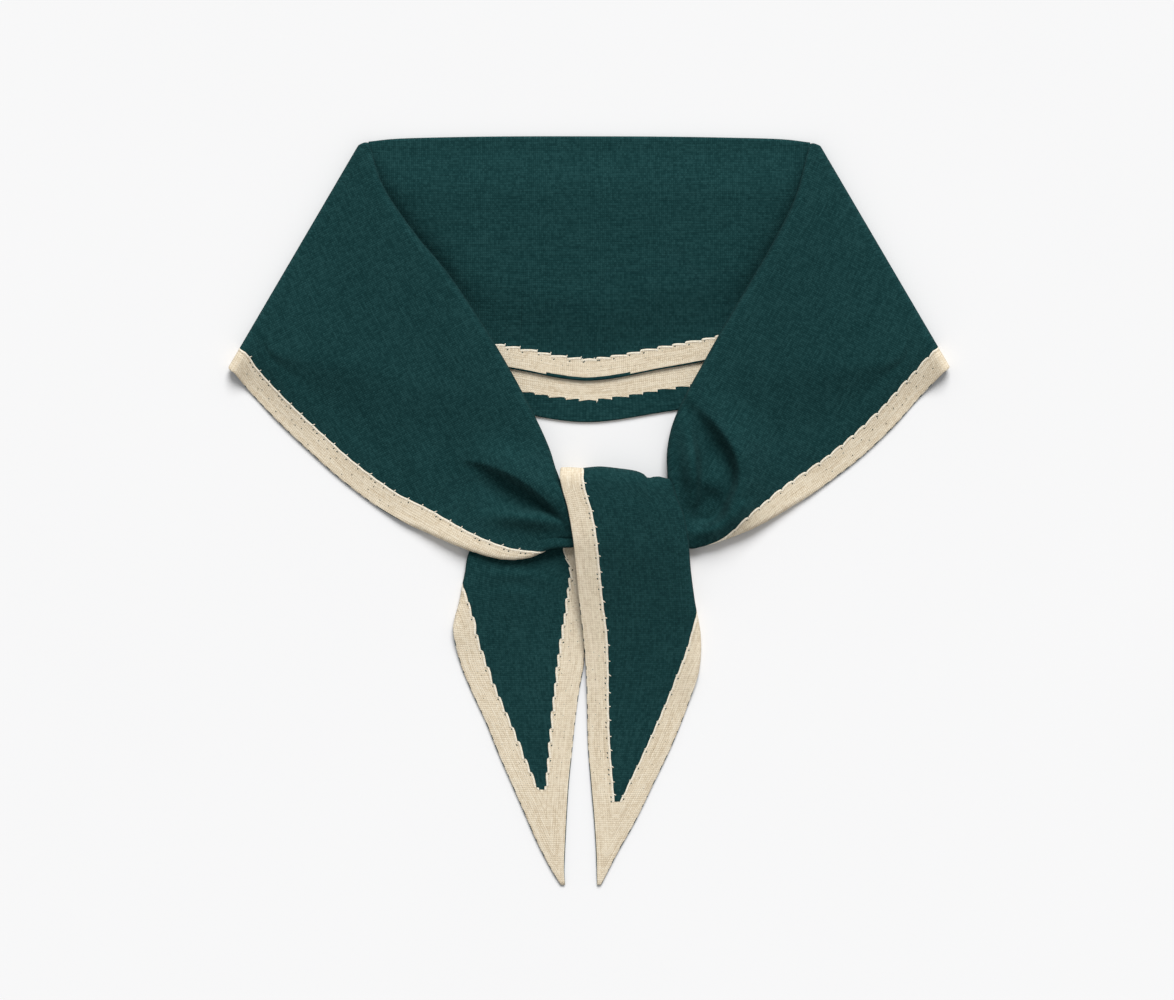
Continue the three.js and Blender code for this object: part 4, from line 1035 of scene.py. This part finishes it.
def knit_material(name, base, dark, light, rough, coordinates, sheen, spec, weights, relief):
    """weights: lines along the cloth, lines across it, single stitches, clouds and the stitches' own relief."""
    along_w, across_w, one_w, cloud_w, stitch_w = weights
    material = bpy.data.materials.new(name)
    material.use_nodes = True
    t = Nodes(material)
    attribute = t.add("ShaderNodeAttribute", attribute_name=coordinates, attribute_type="GEOMETRY").outputs["Vector"]
    split = t.add("ShaderNodeSeparateXYZ", {0: attribute})
    flat = t.combine(split.outputs[0], split.outputs[1], 0.0)
    # x runs along the wales, y across them
    x, y = (split.outputs[0], split.outputs[1]) if coordinates == "knit" else (split.outputs[1], split.outputs[0])
    wander = t.noise(flat, 0.12, 2.0, 0.6)
    y = t.math("ADD", y, t.math("MULTIPLY", t.math("SUBTRACT", wander, 0.5), 1.4))
    p = t.math("DIVIDE", y, WALE)
    q = t.math("DIVIDE", x, COURSE)
    wale = t.math("FLOOR", p)
    lean = t.math("ABSOLUTE", t.math("SUBTRACT", t.math("FRACT", p), 0.5))
    # the two legs of each stitch lean together
    q = t.math("ADD", q, t.math("MULTIPLY", lean, 0.9))
    course = t.math("FLOOR", q)
    leg = t.math("SINE", t.math("MULTIPLY", t.math("FRACT", q), math.pi))
    side = t.math("SINE", t.math("MULTIPLY", t.math("FRACT", t.math("MULTIPLY", p, 2.0)), math.pi))
    groove = t.math("SUBTRACT", 1.0, t.math("POWER", t.math("MULTIPLY", lean, 2.0), 6.0))
    stitch = t.math("MULTIPLY", t.math("MULTIPLY", t.math("POWER", leg, 0.6), t.math("POWER", t.math("ADD", t.math("MULTIPLY", side, 0.7), 0.3), 0.8)), groove)
    one = t.add("ShaderNodeTexWhiteNoise", {"Vector": t.combine(wale, course, 0.37)}, noise_dimensions="3D").outputs[0]
    lines = t.noise(t.combine(t.math("MULTIPLY", y, 1.1), t.math("MULTIPLY", x, 0.07), 4.2), 1.0, 2.0, 0.6)
    rows = t.noise(t.combine(t.math("MULTIPLY", y, 0.07), t.math("MULTIPLY", x, 1.1), 9.1), 1.0, 2.0, 0.6)
    mottle = t.noise(flat, 0.7, 2.0, 0.6)
    cloud = t.noise(flat, 0.03, 3.0, 0.55)
    value = 0.5
    for part, middle, weight in ((lines, 0.5, along_w), (rows, 0.5, across_w), (one, 0.5, one_w), (mottle, 0.5, cloud_w), (cloud, 0.5, cloud_w), (stitch, 0.42, stitch_w)):
        value = t.math("ADD", value, t.math("MULTIPLY", t.math("SUBTRACT", part, middle), weight))
    colour = t.mix(t.spread(value, 0.0, 0.5), dark + (1,), base + (1,))
    colour = t.mix(t.spread(value, 0.5, 1.0), colour, light + (1,))
    if coordinates == "rim":
        # the cord along the seam is paler, and the loops behind it darker
        seam = split.outputs[2]
        cord = t.math("MULTIPLY", t.spread(seam, 0.0, 0.15), t.spread(seam, 1.0, 0.75))
        colour = t.mix(t.math("MULTIPLY", cord, t.spread(t.noise(t.combine(t.math("MULTIPLY", x, 0.9), 5.0, 2.0), 1.0, 1.0), 0.35, 0.6, 0.25, 0.8)), colour, (0.97, 0.92, 0.80, 1))
        behind = t.math("MULTIPLY", t.spread(seam, 0.85, 1.1), t.spread(seam, 1.75, 1.4))
        colour = t.mix(t.math("MULTIPLY", behind, t.math("MULTIPLY", t.spread(t.noise(t.combine(t.math("MULTIPLY", x, 1.3), 2.0, 1.0), 1.0, 1.0), 0.42, 0.6), 0.4)), colour, (0.42, 0.34, 0.25, 1))
    height = t.math("ADD", stitch, t.math("MULTIPLY", t.math("SUBTRACT", lines, 0.5), 0.8))
    bump = t.add("ShaderNodeBump", {"Strength": 1.0, "Distance": relief, "Height": height}).outputs[0]
    shader = t.add("ShaderNodeBsdfPrincipled", {"Base Color": colour, "Roughness": rough, "Normal": bump})
    shader.inputs["Specular IOR Level"].default_value = spec
    shader.inputs["Sheen Weight"].default_value = sheen
    shader.inputs["Sheen Roughness"].default_value = 0.6
    out = t.add("ShaderNodeOutputMaterial")
    t.tree.links.new(shader.outputs[0], out.inputs[0])
    return material


def linear(r, g, b):
    def one(v):
        v /= 255
        return v / 12.92 if v <= 0.04045 else ((v + 0.055) / 1.055) ** 2.4

    return (one(r), one(g), one(b))


MATERIALS.append(knit_material("green_knit", (0.0074, 0.0405, 0.0422), (0.003, 0.0245, 0.026), (0.0162, 0.0635, 0.0652), 0.9, "knit", 0.01, 0.06, (0.75, 0.4, 0.5, 0.22, 0.6), 0.00016))
MATERIALS.append(knit_material("beige_knit", (0.78, 0.665, 0.49), (0.56, 0.45, 0.31), (0.87, 0.78, 0.62), 0.92, "rim", 0.02, 0.1, (1.3, 0.25, 0.4, 0.3, 0.9), 0.00016))

# ---- build ----
make_band(1.0)
make_front("left", LEFT_FRONT, LEFT_FOLDS, "chain", 2.0, False, [(94, 128)])
make_front("right", RIGHT_FRONT, RIGHT_FOLDS, "scallop", 3.0, True, [])
make_tail("left", LEFT_TAIL, -1, ("stairs", "stairs"), 4.0, (LEFT_TAIL_FOLDS, 4))
make_tail("right", RIGHT_TAIL, 1, ("chain", "soft"), 6.0, (DROP_FOLDS, 8))

BORDERS = {
    "knit_band": ["knit_border_near", "knit_border_far"],
    "knit_wing_left": ["knit_border_wing_left"],
    "knit_wing_right": ["knit_border_wing_right"],
    "knit_tail_left": ["knit_border_tail_left"],
    "knit_tail_right": ["knit_border_tail_right"],
}


def flat_size(mesh):
    """Area of one face of the cloth, and its width and length in the stitches' own coordinates."""
    area = sum(p.area for p in mesh.polygons) / 2
    values = np.zeros(len(mesh.vertices) * 3, np.float32)
    mesh.attributes["knit"].data.foreach_get("vector", values)
    size = np.sort(np.ptp(values.reshape(-1, 3)[:, :2], axis=0) / 1000)
    return area, float(size[0]), float(size[1])


for piece, held, rests_on in PIECES:
    if piece.name in BORDERS:
        area, w, l = flat_size(piece.data)
        if area > w * l:
            l = area / w

# ---- floor, light and camera ----
CENTRE = np.array([(587 - 589) * 0.46, (511 - 500) * 0.46, 0]) + SHIFT
bpy.ops.mesh.primitive_plane_add(size=8, location=(0, 0, -0.00006))
floor = bpy.context.object
floor.name = "floor"
material = bpy.data.materials.new("pale_floor")
material.use_nodes = True
t = Nodes(material)
place = t.add("ShaderNodeTexCoord").outputs["Object"]
shade = t.mix(t.noise(place, 6.0, 3.0), (0.868, 0.868, 0.872, 1), (0.884, 0.884, 0.888, 1))
shader = t.add("ShaderNodeBsdfPrincipled", {"Base Color": shade, "Roughness": 0.9})
shader.inputs["Specular IOR Level"].default_value = 0.1
t.tree.links.new(shader.outputs[0], t.add("ShaderNodeOutputMaterial").inputs[0])
floor.data.materials.append(material)

world = bpy.data.worlds.new("studio")
bpy.context.scene.world = world
world.use_nodes = True
world.node_tree.nodes["Background"].inputs[0].default_value = (1, 1, 1, 1)
world.node_tree.nodes["Background"].inputs[1].default_value = 0.38


sun = bpy.data.lights.new("soft_sun", "SUN")
sun.angle = math.radians(34)
sun.energy = 3.24
lamp = bpy.data.objects.new("soft_sun", sun)
bpy.context.scene.collection.objects.link(lamp)
lamp.rotation_euler = (math.radians(-48), 0, math.radians(-8))

camera = bpy.data.cameras.new("camera")
camera.sensor_fit = "HORIZONTAL"
camera.sensor_width = 36
DISTANCE = 3.0
camera.lens = 36 * DISTANCE / (1174 * 0.46 / 1000)
camera.clip_start, camera.clip_end = 0.1, 30
view = bpy.data.objects.new("camera", camera)
bpy.context.scene.collection.objects.link(view)
view.location = (CENTRE[0] / 1000, CENTRE[1] / 1000, DISTANCE)
bpy.context.scene.camera = view
bpy.context.scene.view_settings.view_transform = "Standard"
bpy.context.scene.view_settings.look = "None"
